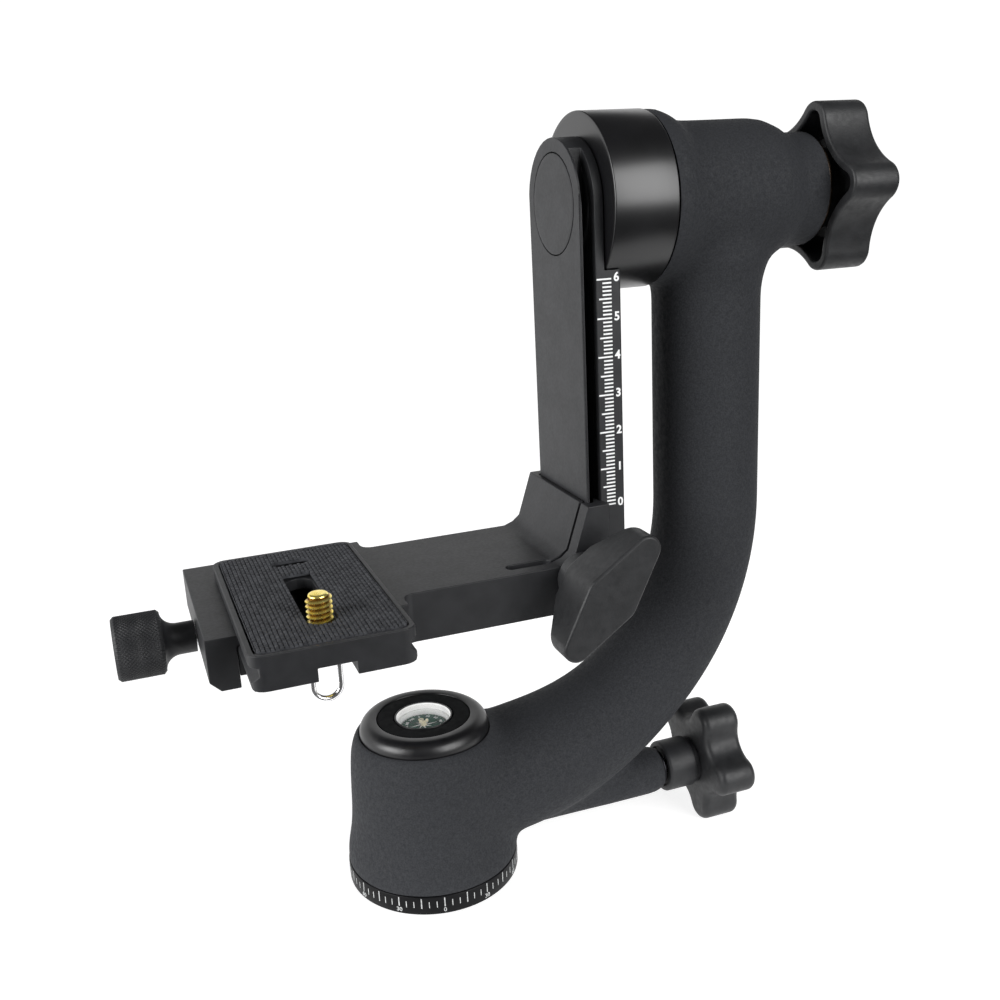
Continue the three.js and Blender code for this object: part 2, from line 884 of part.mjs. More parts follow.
function columnCap() {
  const roll = capRadius - capFlatRadius;
  const rise = capTop - capSkirtTop;
  const curve = arcPoints([0, 0], 1, 0, Math.PI / 2).map(([across, up]) => [
    capFlatRadius + roll * across,
    capSkirtTop + rise * up,
  ]);
  return turnedZ([
    [capLedgeRadius, capSpigotBottom],
    [capSpigotRadius, capSpigotBottom],
    [capSpigotRadius, capSkirtBottom],
    [capRadius, capSkirtBottom],
    ...curve,
    [inlayRadius + gap, capTop],
    [inlayRadius + gap, capLedgeHeight],
    [capLedgeRadius, capLedgeHeight],
  ]);
}

function capInlay() {
  return tubeZ(compassRadius + gap, inlayRadius, capLedgeHeight + gap, inlayTop);
}

function compassHousing() {
  const seat = inlayTop - lensSeatDepth;
  const cavity = compassRadius - 2 * compassWall;
  return turnedZ([
    [0, compassBottom],
    [compassRadius, compassBottom],
    [compassRadius, capLedgeHeight - compassFlangeThickness],
    [compassFlangeRadius, capLedgeHeight - compassFlangeThickness],
    [compassFlangeRadius, capLedgeHeight],
    [compassRadius, capLedgeHeight],
    [compassRadius, inlayTop],
    [compassRadius - compassWall, inlayTop],
    [compassRadius - compassWall, seat],
    [cavity, seat],
    [cavity, compassBottom + compassFloor],
    [0, compassBottom + compassFloor],
  ], innerSides);
}

function domePoints(radius, bottom, rise) {
  return arcPoints([0, 0], 1, 0, Math.PI / 2).map(([across, up]) => [radius * across, bottom + rise * up]);
}

function compassLens() {
  const rim = compassRadius - compassWall - gap;
  const bottom = inlayTop - lensSeatDepth + gap;
  const shoulder = bottom + lensRimThickness;
  const outer = domePoints(rim, shoulder, lensDome);
  const innerRise = shoulder + lensDome - lensThickness - bottom;
  const inner = domePoints(rim - lensThickness, bottom, innerRise).reverse();
  return turnedZ([[rim - lensThickness, bottom], [rim, bottom], ...outer, ...inner.slice(0, -1)], innerSides);
}

function compassDial() {
  return turnedZ([
    [0, dialHeight - dialHubThickness],
    [dialHubRadius, dialHeight - dialHubThickness],
    [dialHubRadius, dialHeight],
    [dialRadius, dialHeight],
    [dialRadius, dialHeight + dialThickness],
    [0, dialHeight + dialThickness],
  ], innerSides);
}

function compassPivot() {
  const bottom = compassBottom + compassFloor + gap;
  return turnedZ([
    [0, bottom],
    [2 * pivotRadius, bottom],
    [pivotRadius, bottom + pivotRadius],
    [0, dialHeight - dialHubThickness - gap],
  ], pinSides);
}

// Pan lock

function panPad() {
  return turnedX([
    [0, panPadTip],
    [panScrewRadius * padTipShare, panPadTip],
    [panScrewRadius, panPadTip + panScrewRadius * padTipShare],
    [panScrewRadius, panPadTip + panPadLength],
    [0, panPadTip + panPadLength],
  ], panLockHeight, 0, smallSides);
}

function panKnobStart() {
  return bossEnd + gap + lockWasherThickness + gap + panHubLength + gap;
}

function panLockScrew() {
  const start = panPadTip + panPadLength + gap;
  return rodX(panScrewRadius, start, panKnobStart() + panScrewReach, panLockHeight);
}

function panLockWasher() {
  const start = bossEnd + gap;
  const end = start + lockWasherThickness;
  return tubeX(panScrewRadius + gap, lockWasherRadius, start, end, panLockHeight);
}

function panKnobHub() {
  const start = bossEnd + gap + lockWasherThickness + gap;
  return turnedX([
    [panScrewRadius + gap, start + panHubRecessDepth],
    [panHubRecessRadius, start + panHubRecessDepth],
    [panHubRecessRadius, start],
    [panHubRadius - panHubEdge, start],
    [panHubRadius, start + panHubEdge],
    [panHubRadius, start + panHubLength],
    [panScrewRadius + gap, start + panHubLength],
  ], panLockHeight, 0, innerSides);
}

function panKnob() {
  const outline = starOutline(panKnobRadius, panKnobLobeRadius, panKnobValleyRadius, Math.PI);
  const star = softPrism(outline, panKnobThickness, panKnobEdge).applyMatrix4(planeToX);
  const body = solid(star.translate(panKnobStart(), 0, panLockHeight));
  const reach = panKnobStart() + panScrewReach + gap;
  return cut(body, rodX(panScrewRadius + gap, 0, reach, panLockHeight));
}

// Tilt group

function tiltDrum() {
  const bore = axleRadius + gap;
  const drum = turnedX([
    [boltRadius + gap, drumStart],
    [drumRadius - drumEdge, drumStart],
    [drumRadius, drumStart + drumEdge],
    [drumRadius, drumEnd - drumEdge],
    [drumRadius - drumEdge, drumEnd],
    [bore, drumEnd],
    [bore, axleStart - gap],
    [boltRadius + gap, axleStart - gap],
  ], tiltHeight, 0, ringSides);
  return cut(drum, ...dowelPlaces().map((height) => dowelRod(height, dowelRadius + gap, gap)));
}

function dowelPlaces() {
  return [tiltHeight - dowelOffset, tiltHeight + dowelOffset];
}

function dowelRod(height, radius, clearance) {
  const middle = (railTopBack + drumStart) / 2;
  return rodX(radius, middle - dowelDepth - clearance, middle + dowelDepth + clearance, height, 0, pinSides);
}

function rail() {
  const outline = [
    [railFront, -railHalfWidth + railEdge],
    [railFront + railEdge, -railHalfWidth],
    [railBack - railEdge, -railHalfWidth],
    [railBack, -railHalfWidth + railEdge],
    [railBack, railHalfWidth - railEdge],
    [railBack - railEdge, railHalfWidth],
    [railFront + railEdge, railHalfWidth],
    [railFront, railHalfWidth - railEdge],
  ];
  const bar = prismZ(outline, railBottom, tiltHeight + railHalfWidth + overrun);
  const face = [
    [-railHalfWidth - overrun, railBottom - overrun],
    [railHalfWidth + overrun, railBottom - overrun],
    [railHalfWidth + overrun, tiltHeight],
    ...arcPoints([0, tiltHeight], railHalfWidth, 0, Math.PI, innerSides),
    [-railHalfWidth - overrun, tiltHeight],
  ];
  const rounded = common(bar, prismX(face, railFront - overrun, railBack + overrun));
  const drumClearance = rodX(drumRadius + gap, railTopBack, railBack + overrun, tiltHeight, 0, ringSides);
  const grooves = [-1, 1].map((side) => railGroove(side));
  const coverSeat = rodX(coverRadius + gap, 0, railFront + coverThickness + gap, tiltHeight, 0, roundSides);
  const headSeat = rodX(boltHeadRadius + gap, 0, boltHeadBottom() + gap, tiltHeight, 0, innerSides);
  const boltHole = rodX(boltRadius + gap, 0, railBack, tiltHeight);
  const dowelHoles = dowelPlaces().map((height) => dowelRod(height, dowelRadius + gap, gap));
  const stopHole = rodX(
    stopScrewRadius + gap,
    railBack - stopScrewDepth,
    railBack + overrun,
    stopScrewHeight,
  );
  return cut(rounded, drumClearance, ...grooves, coverSeat, headSeat, boltHole, ...dowelHoles, stopHole);
}

// Side groove of the dovetail: its section, ended by the round of the cutter
function railGroove(side) {
  const outer = railHalfWidth + overrun;
  const slope = (grooveFloorFront - grooveFront) / (railHalfWidth - grooveHalfWidth);
  const section = [
    [grooveFront - slope * overrun, side * outer],
    [grooveFloorFront, side * grooveHalfWidth],
    [grooveBack, side * grooveHalfWidth],
    [grooveBack, side * outer],
  ];
  const centre = side * (grooveHalfWidth + grooveCutterRadius);
  const run = prismZ(section, railBottom - overrun, tiltHeight + railHalfWidth);
  const window = join(
    block(
      [railFront - overrun, Math.min(side * grooveHalfWidth, side * outer), railBottom - overrun],
      [railBack, Math.max(side * grooveHalfWidth, side * outer), grooveTop],
    ),
    rodX(grooveCutterRadius, railFront - overrun, railBack, grooveTop, centre, innerSides),
  );
  return common(run, window);
}

function pivotCover() {
  return turnedX([
    [0, railFront],
    [coverRadius - gap, railFront],
    [coverRadius, railFront + gap],
    [coverRadius, railFront + coverThickness],
    [0, railFront + coverThickness],
  ], tiltHeight);
}

function boltHeadBottom() {
  return railFront + coverThickness + gap + gap + boltHeadHeight;
}

function axleBolt() {
  const top = railFront + coverThickness + gap;
  const bottom = top + boltHeadHeight;
  const body = turnedX([
    [0, top],
    [boltHeadRadius, top],
    [boltHeadRadius, bottom],
    [boltRadius, bottom],
    [boltRadius, bottom + boltLength],
    [0, bottom + boltLength],
  ], tiltHeight, 0, innerSides);
  const hexagon = regularOutline(hexSides, boltSocketRadius, 0, tiltHeight);
  return cut(body, prismX(hexagon, top - overrun, top + boltSocketDepth));
}

function tiltAxle() {
  const boltEnd = boltHeadBottom() - gap + boltLength + gap;
  return turnedX([
    [boltRadius + gap, axleStart],
    [axleRadius - baseEdge, axleStart],
    [axleRadius, axleStart + baseEdge],
    [axleRadius, axleEnd],
    [axleThreadRadius, axleEnd],
    [axleThreadRadius, axleThreadEnd - baseEdge],
    [axleThreadRadius - baseEdge, axleThreadEnd],
    [0, axleThreadEnd],
    [0, boltEnd],
    [boltRadius + gap, boltEnd],
  ], tiltHeight, 0, innerSides);
}

function railStopScrew() {
  const top = railBack + gap + stopScrewHeadHeight;
  const body = turnedX([
    [0, railBack - stopScrewDepth + gap],
    [stopScrewRadius, railBack - stopScrewDepth + gap],
    [stopScrewRadius, railBack + gap],
    [stopScrewHeadRadius, railBack + gap],
    [stopScrewHeadRadius - gap, top],
    [0, top],
  ], stopScrewHeight, 0, smallSides);
  const socket = prismX(
    regularOutline(hexSides, screwSocketRadius, 0, stopScrewHeight),
    top - screwSocketDepth,
    top + overrun,
  );
  return cut(body, socket);
}

// Ball bearings: two races with the row of balls as one round ring between them
function innerRace(start) {
  const bore = axleRadius + gap;
  return tubeX(bore, bore + innerRaceWall, start, start + bearingWidth, tiltHeight);
}

function ballRow(start) {
  const centre = axleRadius + gap + innerRaceWall + gap + ballRowRadius;
  const middle = start + bearingWidth / 2;
  const section = regularOutline(ballRowSides, ballRowRadius, centre, middle);
  return turnedX(section, tiltHeight, 0, innerSides);
}

function outerRace(start) {
  const inner = axleRadius + gap + innerRaceWall + gap + 2 * ballRowRadius + gap;
  return tubeX(inner, inner + outerRaceWall, start, start + bearingWidth, tiltHeight);
}

function tiltWasher() {
  const start = neckEnd + gap;
  return tubeX(axleThreadRadius + gap, tiltWasherRadius, start, start + tiltWasherThickness, tiltHeight);
}

function tiltKnob() {
  const shell = starOutline(tiltKnobRadius, tiltKnobLobeRadius, tiltKnobValleyRadius, tiltKnobAngle);
  const hollow = starOutline(
    tiltKnobRadius - tiltKnobWall,
    tiltKnobLobeRadius - tiltKnobWall,
    tiltKnobValleyRadius - tiltKnobWall,
    tiltKnobAngle,
  );
  const length = tiltKnobEnd - tiltKnobStart;
  const star = softPrism(shell, length, tiltKnobEdge).applyMatrix4(planeToX);
  const body = solid(star.translate(tiltKnobStart, 0, tiltHeight));
  const floor = tiltKnobEnd - tiltKnobCap;
  const inside = prismX(hollow, tiltKnobStart - overrun, floor).translate([0, 0, tiltHeight]);
  const hub = rodX(tiltKnobHubRadius, tiltKnobStart, floor + overlap, tiltHeight, 0, innerSides);
  const nutSeat = prismX(
    regularOutline(hexSides, tiltNutRadius + gap, 0, tiltHeight),
    tiltKnobStart - overrun,
    tiltKnobStart + gap + tiltNutLength + gap,
  );
  const axleBore = rodX(axleThreadRadius + gap, tiltKnobStart - overrun, axleThreadEnd + gap, tiltHeight);
  return cut(join(cut(body, inside), hub), nutSeat, axleBore);
}

function tiltKnobNut() {
  const start = tiltKnobStart + gap;
  const end = start + tiltNutLength;
  const body = prismX(regularOutline(hexSides, tiltNutRadius, 0, tiltHeight), start, end);
  return cut(body, rodX(axleThreadRadius + gap, start - overrun, end + overrun, tiltHeight));
}

// L-shaped platform with the fixed jaw of the clamp

function bracketSide() {
  return prismY([
    [fixedJawEnd, platformBottom],
    [bracketBack, platformBottom],
    [bracketBack, bracketTop],
    [bracketTopFront, bracketTop],
    [bracketSlopeFoot, bracketSlopeFootHeight],
    [
      THREE.MathUtils.lerp(bracketSlopeFoot, bracketFacetEnd, facetLengthShare),
      THREE.MathUtils.lerp(bracketSlopeFootHeight, platformTop, facetDropShare),
    ],
    [bracketFacetEnd, platformTop],
    [fixedJawEnd, platformTop],
  ], -bracketHalfWidth, bracketHalfWidth);
}

// Plan of the fixed jaw, wider than the platform and blended into it by hollow corners
function fixedJawPlan() {
  const neck = fixedJawEnd + fixedJawFillet;
  const inner = plateX + jawLipOffset;
  const nearArc = arcPoints([neck, -bracketHalfWidth - fixedJawFillet], fixedJawFillet, Math.PI, Math.PI / 2);
  const farArc = arcPoints([neck, bracketHalfWidth + fixedJawFillet], fixedJawFillet, -Math.PI / 2, -Math.PI);
  return [
    [inner, -jawHalfLength],
    [fixedJawEnd, -jawHalfLength],
    ...nearArc,
    ...farArc,
    [fixedJawEnd, jawHalfLength],
    [inner, jawHalfLength],
  ];
}

// Space of the plate's dovetail above the clamp floor, right of its centre
function dovetailSpace() {
  return prismY([
    [plateX, clampFloor],
    [plateX + jawFaceOffset, clampFloor],
    [plateX + jawFaceOffset, plateFlangeTop],
    [plateX + jawLipOffset, jawLipHeight],
    [plateX + jawLipOffset, platformTop + overrun],
    [plateX, platformTop + overrun],
  ], -jawHalfLength - overrun, jawHalfLength + overrun);
}

function railChannel() {
  const side = (sign) => [
    [railFront - gap, sign * (railHalfWidth + gap)],
    [grooveFront + gap, sign * (railHalfWidth + gap)],
    [grooveFloorFront + gap, sign * (grooveHalfWidth + gap)],
    [grooveBack - gap, sign * (grooveHalfWidth + gap)],
    [grooveBack - gap, sign * (railHalfWidth + gap)],
    [bracketBack + overrun, sign * (railHalfWidth + gap)],
  ];
  const outline = [...side(-1), ...side(1).reverse()];
  return prismZ(outline, platformBottom - overrun, bracketTop + overrun);
}

function floorEnd() {
  return plateX - jawFaceOffset + jawFloorGap;
}

function lBracket() {
  const floor = block(
    [floorEnd(), -bracketHalfWidth, platformBottom],
    [plateX + jawFaceOffset + overrun, bracketHalfWidth, clampFloor],
  );
  const jaw = prismZ(fixedJawPlan(), platformBottom, platformTop);
  const whole = join(bracketSide(), cut(jaw, dovetailSpace()), floor);
  const slit = block(
    [slotStart + slotWidth, -slitCentre - slitWidth / 2, platformBottom - overrun],
    [railFront, -slitCentre + slitWidth / 2, bracketTop + overrun],
  );
  const side = slotWidth / 2;
  const slot = prismZ(
    rectangle(slotStart, slotEnd, -slotCentre - side, -slotCentre + side, side - slotSideFlat),
    platformBottom - overrun,
    platformTop + overrun,
  );
  const studHole = rodY(
    wingStudRadius + gap,
    -bracketHalfWidth - overrun,
    wingStudInner + gap,
    wingX,
    wingHeight,
  );
  const screwHole = rodX(
    clampScrewRadius + gap,
    floorEnd() - overrun,
    clampScrewInner + gap,
    clampAxisHeight,
  );
  const pinHoles = guidePinSides().map((y) =>
    rodX(guidePinRadius + gap, floorEnd() - overrun, guidePinInner + gap, clampAxisHeight, y, pinSides),
  );
  return cut(whole, railChannel(), slit, slot, studHole, screwHole, ...pinHoles);
}

// Movable jaw and its knob

function guidePinSides() {
  return [-guidePinOffset, guidePinOffset];
}

function jawGuidePin(y) {
  return rodX(guidePinRadius, guidePinEnd, guidePinInner, clampAxisHeight, y, pinSides);
}

function clampJaw() {
  const face = plateX - jawFaceOffset;
  const lip = plateX - jawLipOffset;
  const body = prismY([
    [jawOuter, platformBottom + jawChamfer],
    [jawOuter + jawChamfer, platformBottom],
    [face, platformBottom],
    [face, plateFlangeTop],
    [lip, jawLipHeight],
    [lip, platformTop],
    [jawOuter, platformTop],
  ], -jawHalfLength, jawHalfLength);
  const screwHole = rodX(clampScrewRadius + gap, jawOuter - overrun, face + overrun, clampAxisHeight);
  const pinHoles = guidePinSides().map((y) =>
    rodX(guidePinRadius + gap, jawOuter + gap, face + overrun, clampAxisHeight, y, pinSides),
  );
  return cut(body, screwHole, ...pinHoles);
}

function clampKnob() {
  const neckEndX = jawOuter - gap;
  const flare = arcPoints([0, 0], 1, 0, Math.PI / 2).map(([across, up]) => [
    clampKnobRadius - clampKnobEdge - (clampKnobRadius - clampKnobEdge - clampNeckRadius) * up,
    clampNeckStart - (clampNeckStart - clampKnobShoulder) * across,
  ]);
  const body = turnedX([
    [0, clampKnobEnd + clampDimpleDepth],
    [clampDimpleRadius, clampKnobEnd + clampDimpleDepth],
    [clampDimpleRadius + clampDimpleDepth, clampKnobEnd],
    [clampKnobRadius - clampKnobEdge, clampKnobEnd],
    [clampKnobRadius, clampKnobEnd + clampKnobEdge],
    [clampKnobRadius, clampKnobShoulder - clampKnobEdge],
    ...flare,
    [clampNeckRadius, neckEndX],
    [0, neckEndX],
  ], clampAxisHeight, 0, innerSides);
  const screwSpace = rodX(
    clampScrewRadius + gap,
    clampScrewHead() - gap,
    neckEndX + overrun,
    clampAxisHeight,
  );
  return cut(body, screwSpace);
}

function clampScrewHead() {
  return jawOuter - clampScrewHeadReach;
}

function clampScrew() {
  return rodX(clampScrewRadius, clampScrewHead(), clampScrewInner, clampAxisHeight);
}

// Wing knob

// Rhombus with round tips and sides, each straight edge tangent to both rounds
function wingOutline() {
  const tip = wingHalfLength - wingTipRadius;
  const side = wingHalfWidth - wingSideRadius;
  const slope = Math.asin((wingSideRadius - wingTipRadius) / Math.hypot(tip, side)) + Math.atan2(side, tip);
  const steep = Math.PI / 2 - slope;
  return [
    ...arcPoints([tip, 0], wingTipRadius, -steep, steep),
    ...arcPoints([0, side], wingSideRadius, steep, Math.PI - steep),
    ...arcPoints([-tip, 0], wingTipRadius, Math.PI - steep, Math.PI + steep),
    ...arcPoints([0, -side], wingSideRadius, Math.PI + steep, 2 * Math.PI - steep),
  ];
}

function wingKnob() {
  const depth = wingBack - wingNear;
  const blank = softPrism(wingOutline(), depth, wingEdge).rotateX(Math.PI / 2);
  const slab = solid(blank.translate(0, wingBack, 0));
  const shelf = [-1, 1].map((side) => prismZ(
    [
      [side * wingCollarRadius, wingBack],
      [side * wingHalfLength, wingTipBack],
      [side * wingHalfLength, wingBack + overrun],
      [side * wingCollarRadius, wingBack + overrun],
    ],
    -wingHalfWidth - overrun,
    wingHalfWidth + overrun,
  ));
  const collar = rodY(wingCollarRadius, wingBack - overlap, wingCollarStart, 0, 0, innerSides);
  const bore = rodY(wingStudRadius + gap, wingBack - wingStudReach - gap, wingCollarStart + overrun, 0, 0);
  return cut(join(cut(slab, ...shelf), collar), bore);
}

function wingStud() {
  return rodY(wingStudRadius, wingBack - wingStudReach, wingStudInner, wingX, wingHeight);
}

// Quick-release plate

function plateProfile() {
  const half = [
    [plateFlangeHalfWidth - plateEdge, plateBottom],
    [plateFlangeHalfWidth, plateBottom + plateEdge],
    [plateFlangeHalfWidth, plateFlangeTop],
    [plateWaistHalfWidth, plateFlangeTop + plateFlangeHalfWidth - plateWaistHalfWidth],
    [plateWaistHalfWidth, plateOverhangBottom],
    [plateHalfWidth, plateOverhangBottom],
    [plateHalfWidth, plateTop - plateEdge],
    [plateHalfWidth - plateEdge, plateTop],
  ];
  const right = half.map(([across, z]) => [plateX + across, z]);
  const left = half.map(([across, z]) => [plateX - across, z]).reverse();
  return [...right, ...left];
}

function slotOutline(halfWidth, near, far) {
  return rectangle(plateX - halfWidth, plateX + halfWidth, near, far, halfWidth - slotSideFlat);
}

function qrPlate() {
  const bar = prismY(plateProfile(), plateNear, plateFar);
  const plan = rectangle(plateX - plateHalfWidth, plateX + plateHalfWidth, plateNear, plateFar, plateCorner);
  const body = common(bar, prismZ(plan, plateBottom - overrun, plateTop + overrun));
  const recess = prismZ(padOutline(padInset), plateRecess, plateTop + overrun);
  const screwSlot = prismZ(
    slotOutline(screwSlotHalfWidth, screwSlotNear, screwSlotFar),
    plateBottom - overrun,
    plateTop + overrun,
  );
  const headSlot = prismZ(
    slotOutline(headSlotHalfWidth, headSlotNear, headSlotFar),
    plateBottom - overrun,
    plateCeiling,
  );
  const notch = block(
    [plateX - notchHalfWidth, plateNear - overrun, plateBottom - overrun],
    [plateX + notchHalfWidth, headSlotNear + headSlotHalfWidth, plateBottom + notchDepth],
  );
  return cut(body, recess, screwSlot, headSlot, notch, pinSlot(0));
}

function padOutline(inset) {
  return rectangle(
    plateX - plateHalfWidth + inset,
    plateX + plateHalfWidth - inset,
    plateNear + inset,
    plateFar - inset,
    plateCorner - inset,
  );
}

function pinSlot(margin) {
  const half = pinSlotWidth / 2 + margin;
  const outline = rectangle(
    plateX - pinSlotLength / 2 - margin,
    plateX + pinSlotLength / 2 + margin,
    pinSlotY - half,
    pinSlotY + half,
    half - slotSideFlat,
  );
  return prismZ(outline, plateBottom - overrun, plateTop + padThickness + overrun);
}

function platePad() {
  const bottom = plateRecess + gap;
  const pad = prismZ(padOutline(padInset + gap), bottom, bottom + padThickness);
  const outline = slotOutline(
    screwSlotHalfWidth + padSlotMargin,
    screwSlotNear - padSlotMargin,
    screwSlotFar + padSlotMargin,
  );
  const slot = prismZ(outline, bottom - overrun, bottom + padThickness + overrun);
  return cut(pad, slot, pinSlot(padSlotMargin));
}

// Camera screw

function slotWasher() {
  const top = plateCeiling - gap;
  return tubeZ(cameraScrewRadius + gap, slotWasherRadius, top - slotWasherThickness, top, innerSides)
    .translate([plateX, cameraScrewY, 0]);
}

function cameraScrew() {
  const turnedBody = turnedZ([
    [0, screwDiscBottom],
    [screwDiscRadius - gap, screwDiscBottom],
    [screwDiscRadius, screwDiscBottom + gap],
    [screwDiscRadius, screwDiscTop],
    [cameraScrewRadius, screwDiscTop],
    [cameraScrewRadius, cameraScrewTop - cameraScrewEdge],
    [cameraScrewRadius - cameraScrewEdge, cameraScrewTop],
    [0, cameraScrewTop],
  ], innerSides);
  const lug = block(
    [-lugHalfWidth, -lugHalfLength, lugBottom],
    [lugHalfWidth, lugHalfLength, screwDiscBottom + overlap],
  );
  const pinHole = rodX(
    ringWireRadius + gap / 2,
    -lugHalfWidth - overrun,
    lugHalfWidth + overrun,
    screwPivotHeight,
    0,
    pinSides,
  );
  return cut(join(turnedBody, lug), pinHole).translate([plateX, cameraScrewY, 0]);
}

// Ring of bent wire, hanging from the lug under the screw's head
function screwRing() {
  const pins = [-1, 1].map((side) => rodX(
    ringWireRadius,
    side > 0 ? ringPinInner : -ringHalfWidth,
    side > 0 ? ringHalfWidth : -ringPinInner,
    0,
    0,
    pinSides,
  ));
  const legs = [-1, 1].map((side) =>
    rodZ(ringWireRadius, -ringLength, 0, side * ringHalfWidth, 0, pinSides),
  );
  const bend = new THREE.CatmullRomCurve3(
    arcPoints([0, -ringLength], ringHalfWidth, Math.PI, 2 * Math.PI, pinSides)
      .map(([x, z]) => new THREE.Vector3(x, 0, z)),
  );
  const wire = shapeOf(regularOutline(pinSides, ringWireRadius));
  const turn = solid(new THREE.ExtrudeGeometry(wire, { steps: pinSides, extrudePath: bend }));
  return join(...pins, ...legs, turn).translate([plateX, cameraScrewY, screwPivotHeight]);
}

// Assembly: each group holds the pieces that move together

function group(...parts) {
  const made = new THREE.Group();
  parts.forEach((part) => made.add(part));
  return made;
}

const base = group(
  subPart("base_ring", baseRing(), satinBlack),
  subPart("pan_spindle", panSpindle(), steel),
  subPart("tripod_bush", tripodBush(), brass),
  subPart("pan_spring_washer", springWasher(), steel),
  subPart("pan_nut", panNut(), steel),
  ...baseScrewPlaces().map((place, i) => subPart("base_screw_" + (i + 1), baseScrew(place), steel)),
);

const compass = group(
  subPart("compass_housing", compassHousing(), glossBlack),
  subPart("compass_lens", compassLens(), clearGlass),
  subPart("compass_pivot", compassPivot(), brass),
  subPart("compass_dial", compassDial(), dialGreen),
);

const panLock = group(
  subPart("pan_lock_pad", panPad(), brass),
  subPart("pan_lock_screw", panLockScrew(), steel),
  subPart("pan_lock_washer", panLockWasher(), steel),
  subPart("pan_knob_hub", panKnobHub(), satinBlack),
  subPart("pan_knob", panKnob(), knobPlastic),
);

const arm = group(
  subPart("arm_casting", armCasting(), coatedCasting),
  subPart("pan_washer", panWasher(), nylon),
  subPart("pan_bush_lower", panBush(panBushBottom, panBushLowerTop), bronze),
  subPart("pan_bush_upper", panBush(panBushUpperBottom, panBushUpperTop), bronze),
  subPart("column_cap", columnCap(), glossBlack),
  subPart("cap_inlay", capInlay(), mattBlack),
  subPart("tilt_outer_race_front", outerRace(bearingFrontStart), steel),
  subPart("tilt_outer_race_rear", outerRace(bearingRearStart), steel),
  compass,
  panLock,
);

const clampScrewGroup = group(
  subPart("clamp_knob", clampKnob(), satinBlack),
  subPart("clamp_screw", clampScrew(), steel),
);

const plate = group(
  subPart("qr_plate", qrPlate(), mattBlack),
  subPart("plate_pad", platePad(), padRubber),
  subPart("slot_washer", slotWasher(), nylon),
  subPart("camera_screw", cameraScrew(), brass),
  subPart("screw_ring", screwRing(), steel),
);

const wing = subPart("wing_knob", wingKnob(), knobPlastic);
wing.position.set(wingX, 0, wingHeight);
wing.rotation.y = -wingAngle;

const platform = group(
  subPart("l_bracket", lBracket(), mattBlack),
  ...guidePinSides().map((y, i) => subPart("jaw_guide_pin_" + (i + 1), jawGuidePin(y), steel)),
  subPart("clamp_jaw", clampJaw(), mattBlack),
  clampScrewGroup,
  wing,
  subPart("wing_stud", wingStud(), steel),
  plate,
);

const swing = group(
  subPart("tilt_drum", tiltDrum(), satinBlack),
  subPart("rail", rail(), mattBlack),
  subPart("pivot_cover", pivotCover(), mattBlack),
  subPart("axle_bolt", axleBolt(), steel),
  subPart("tilt_axle", tiltAxle(), steel),
  ...dowelPlaces().map((height, i) =>
    subPart("rail_dowel_" + (i + 1), dowelRod(height, dowelRadius, 0), steel),
  ),
  subPart("rail_stop_screw", railStopScrew(), steel),
  subPart("tilt_inner_race_front", innerRace(bearingFrontStart), steel),
  subPart("tilt_ball_row_front", ballRow(bearingFrontStart), steel),
  subPart("tilt_inner_race_rear", innerRace(bearingRearStart), steel),
  subPart("tilt_ball_row_rear", ballRow(bearingRearStart), steel),
  subPart("tilt_washer", tiltWasher(), bronze),
  subPart("tilt_knob", tiltKnob(), knobPlastic),
  subPart("tilt_knob_nut", tiltKnobNut(), brass),
  platform,
);

const gimbalHead = group(base, arm, swing);

export default gimbalHead;
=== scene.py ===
import math

import bmesh
import bpy
import numpy as np
from mathutils import Matrix, Vector


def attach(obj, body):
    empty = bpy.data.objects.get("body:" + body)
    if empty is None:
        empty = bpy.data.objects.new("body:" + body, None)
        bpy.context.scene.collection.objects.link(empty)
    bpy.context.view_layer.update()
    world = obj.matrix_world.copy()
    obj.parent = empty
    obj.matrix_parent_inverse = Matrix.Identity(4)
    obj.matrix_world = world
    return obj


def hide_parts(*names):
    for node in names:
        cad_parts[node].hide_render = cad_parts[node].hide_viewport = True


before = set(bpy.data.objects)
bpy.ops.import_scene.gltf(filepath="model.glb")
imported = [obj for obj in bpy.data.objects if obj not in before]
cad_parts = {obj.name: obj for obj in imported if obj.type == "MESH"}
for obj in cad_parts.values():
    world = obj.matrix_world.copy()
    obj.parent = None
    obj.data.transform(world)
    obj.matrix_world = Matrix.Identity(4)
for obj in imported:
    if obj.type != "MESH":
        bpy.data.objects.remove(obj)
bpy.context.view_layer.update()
scene = bpy.context.scene

# Shapes are worked in millimetres and scaled to metres when a piece is finished
mm = 0.001
tiltHeight = 186
toX = Matrix.Rotation(math.pi / 2, 4, "Y")  # a shape turned about Z comes to lie along X
toY = Matrix.Rotation(-math.pi / 2, 4, "X")  # and this one lays it along Y


# ---- finishes
def addNode(material, kind, settings=None, **inputs):
    node = material.node_tree.nodes.new("ShaderNode" + kind)
    for key, value in (settings or {}).items():
        setattr(node, key, value)
    for key, value in inputs.items():
        node.inputs[key].default_value = value
    return node


def link(material, source, target):
    material.node_tree.links.new(source, target)


def noiseOf(material, scale, detail, stretch=None):
    source = addNode(material, "TexCoord").outputs["Object"]
    if stretch:
        mapping = addNode(material, "Mapping", Scale=stretch)
        link(material, source, mapping.inputs["Vector"])
        source = mapping.outputs["Vector"]
    texture = addNode(material, "TexNoise", Scale=scale, Detail=detail, Roughness=0.5)
    link(material, source, texture.inputs["Vector"])
    return texture.outputs["Fac"]


def ranged(material, source, low, high, fromLow=0.35, fromHigh=0.65):
    ramp = addNode(material, "MapRange")
    for key, value in (("From Min", fromLow), ("From Max", fromHigh), ("To Min", low), ("To Max", high)):
        ramp.inputs[key].default_value = value
    link(material, source, ramp.inputs["Value"])
    return ramp.outputs["Result"]


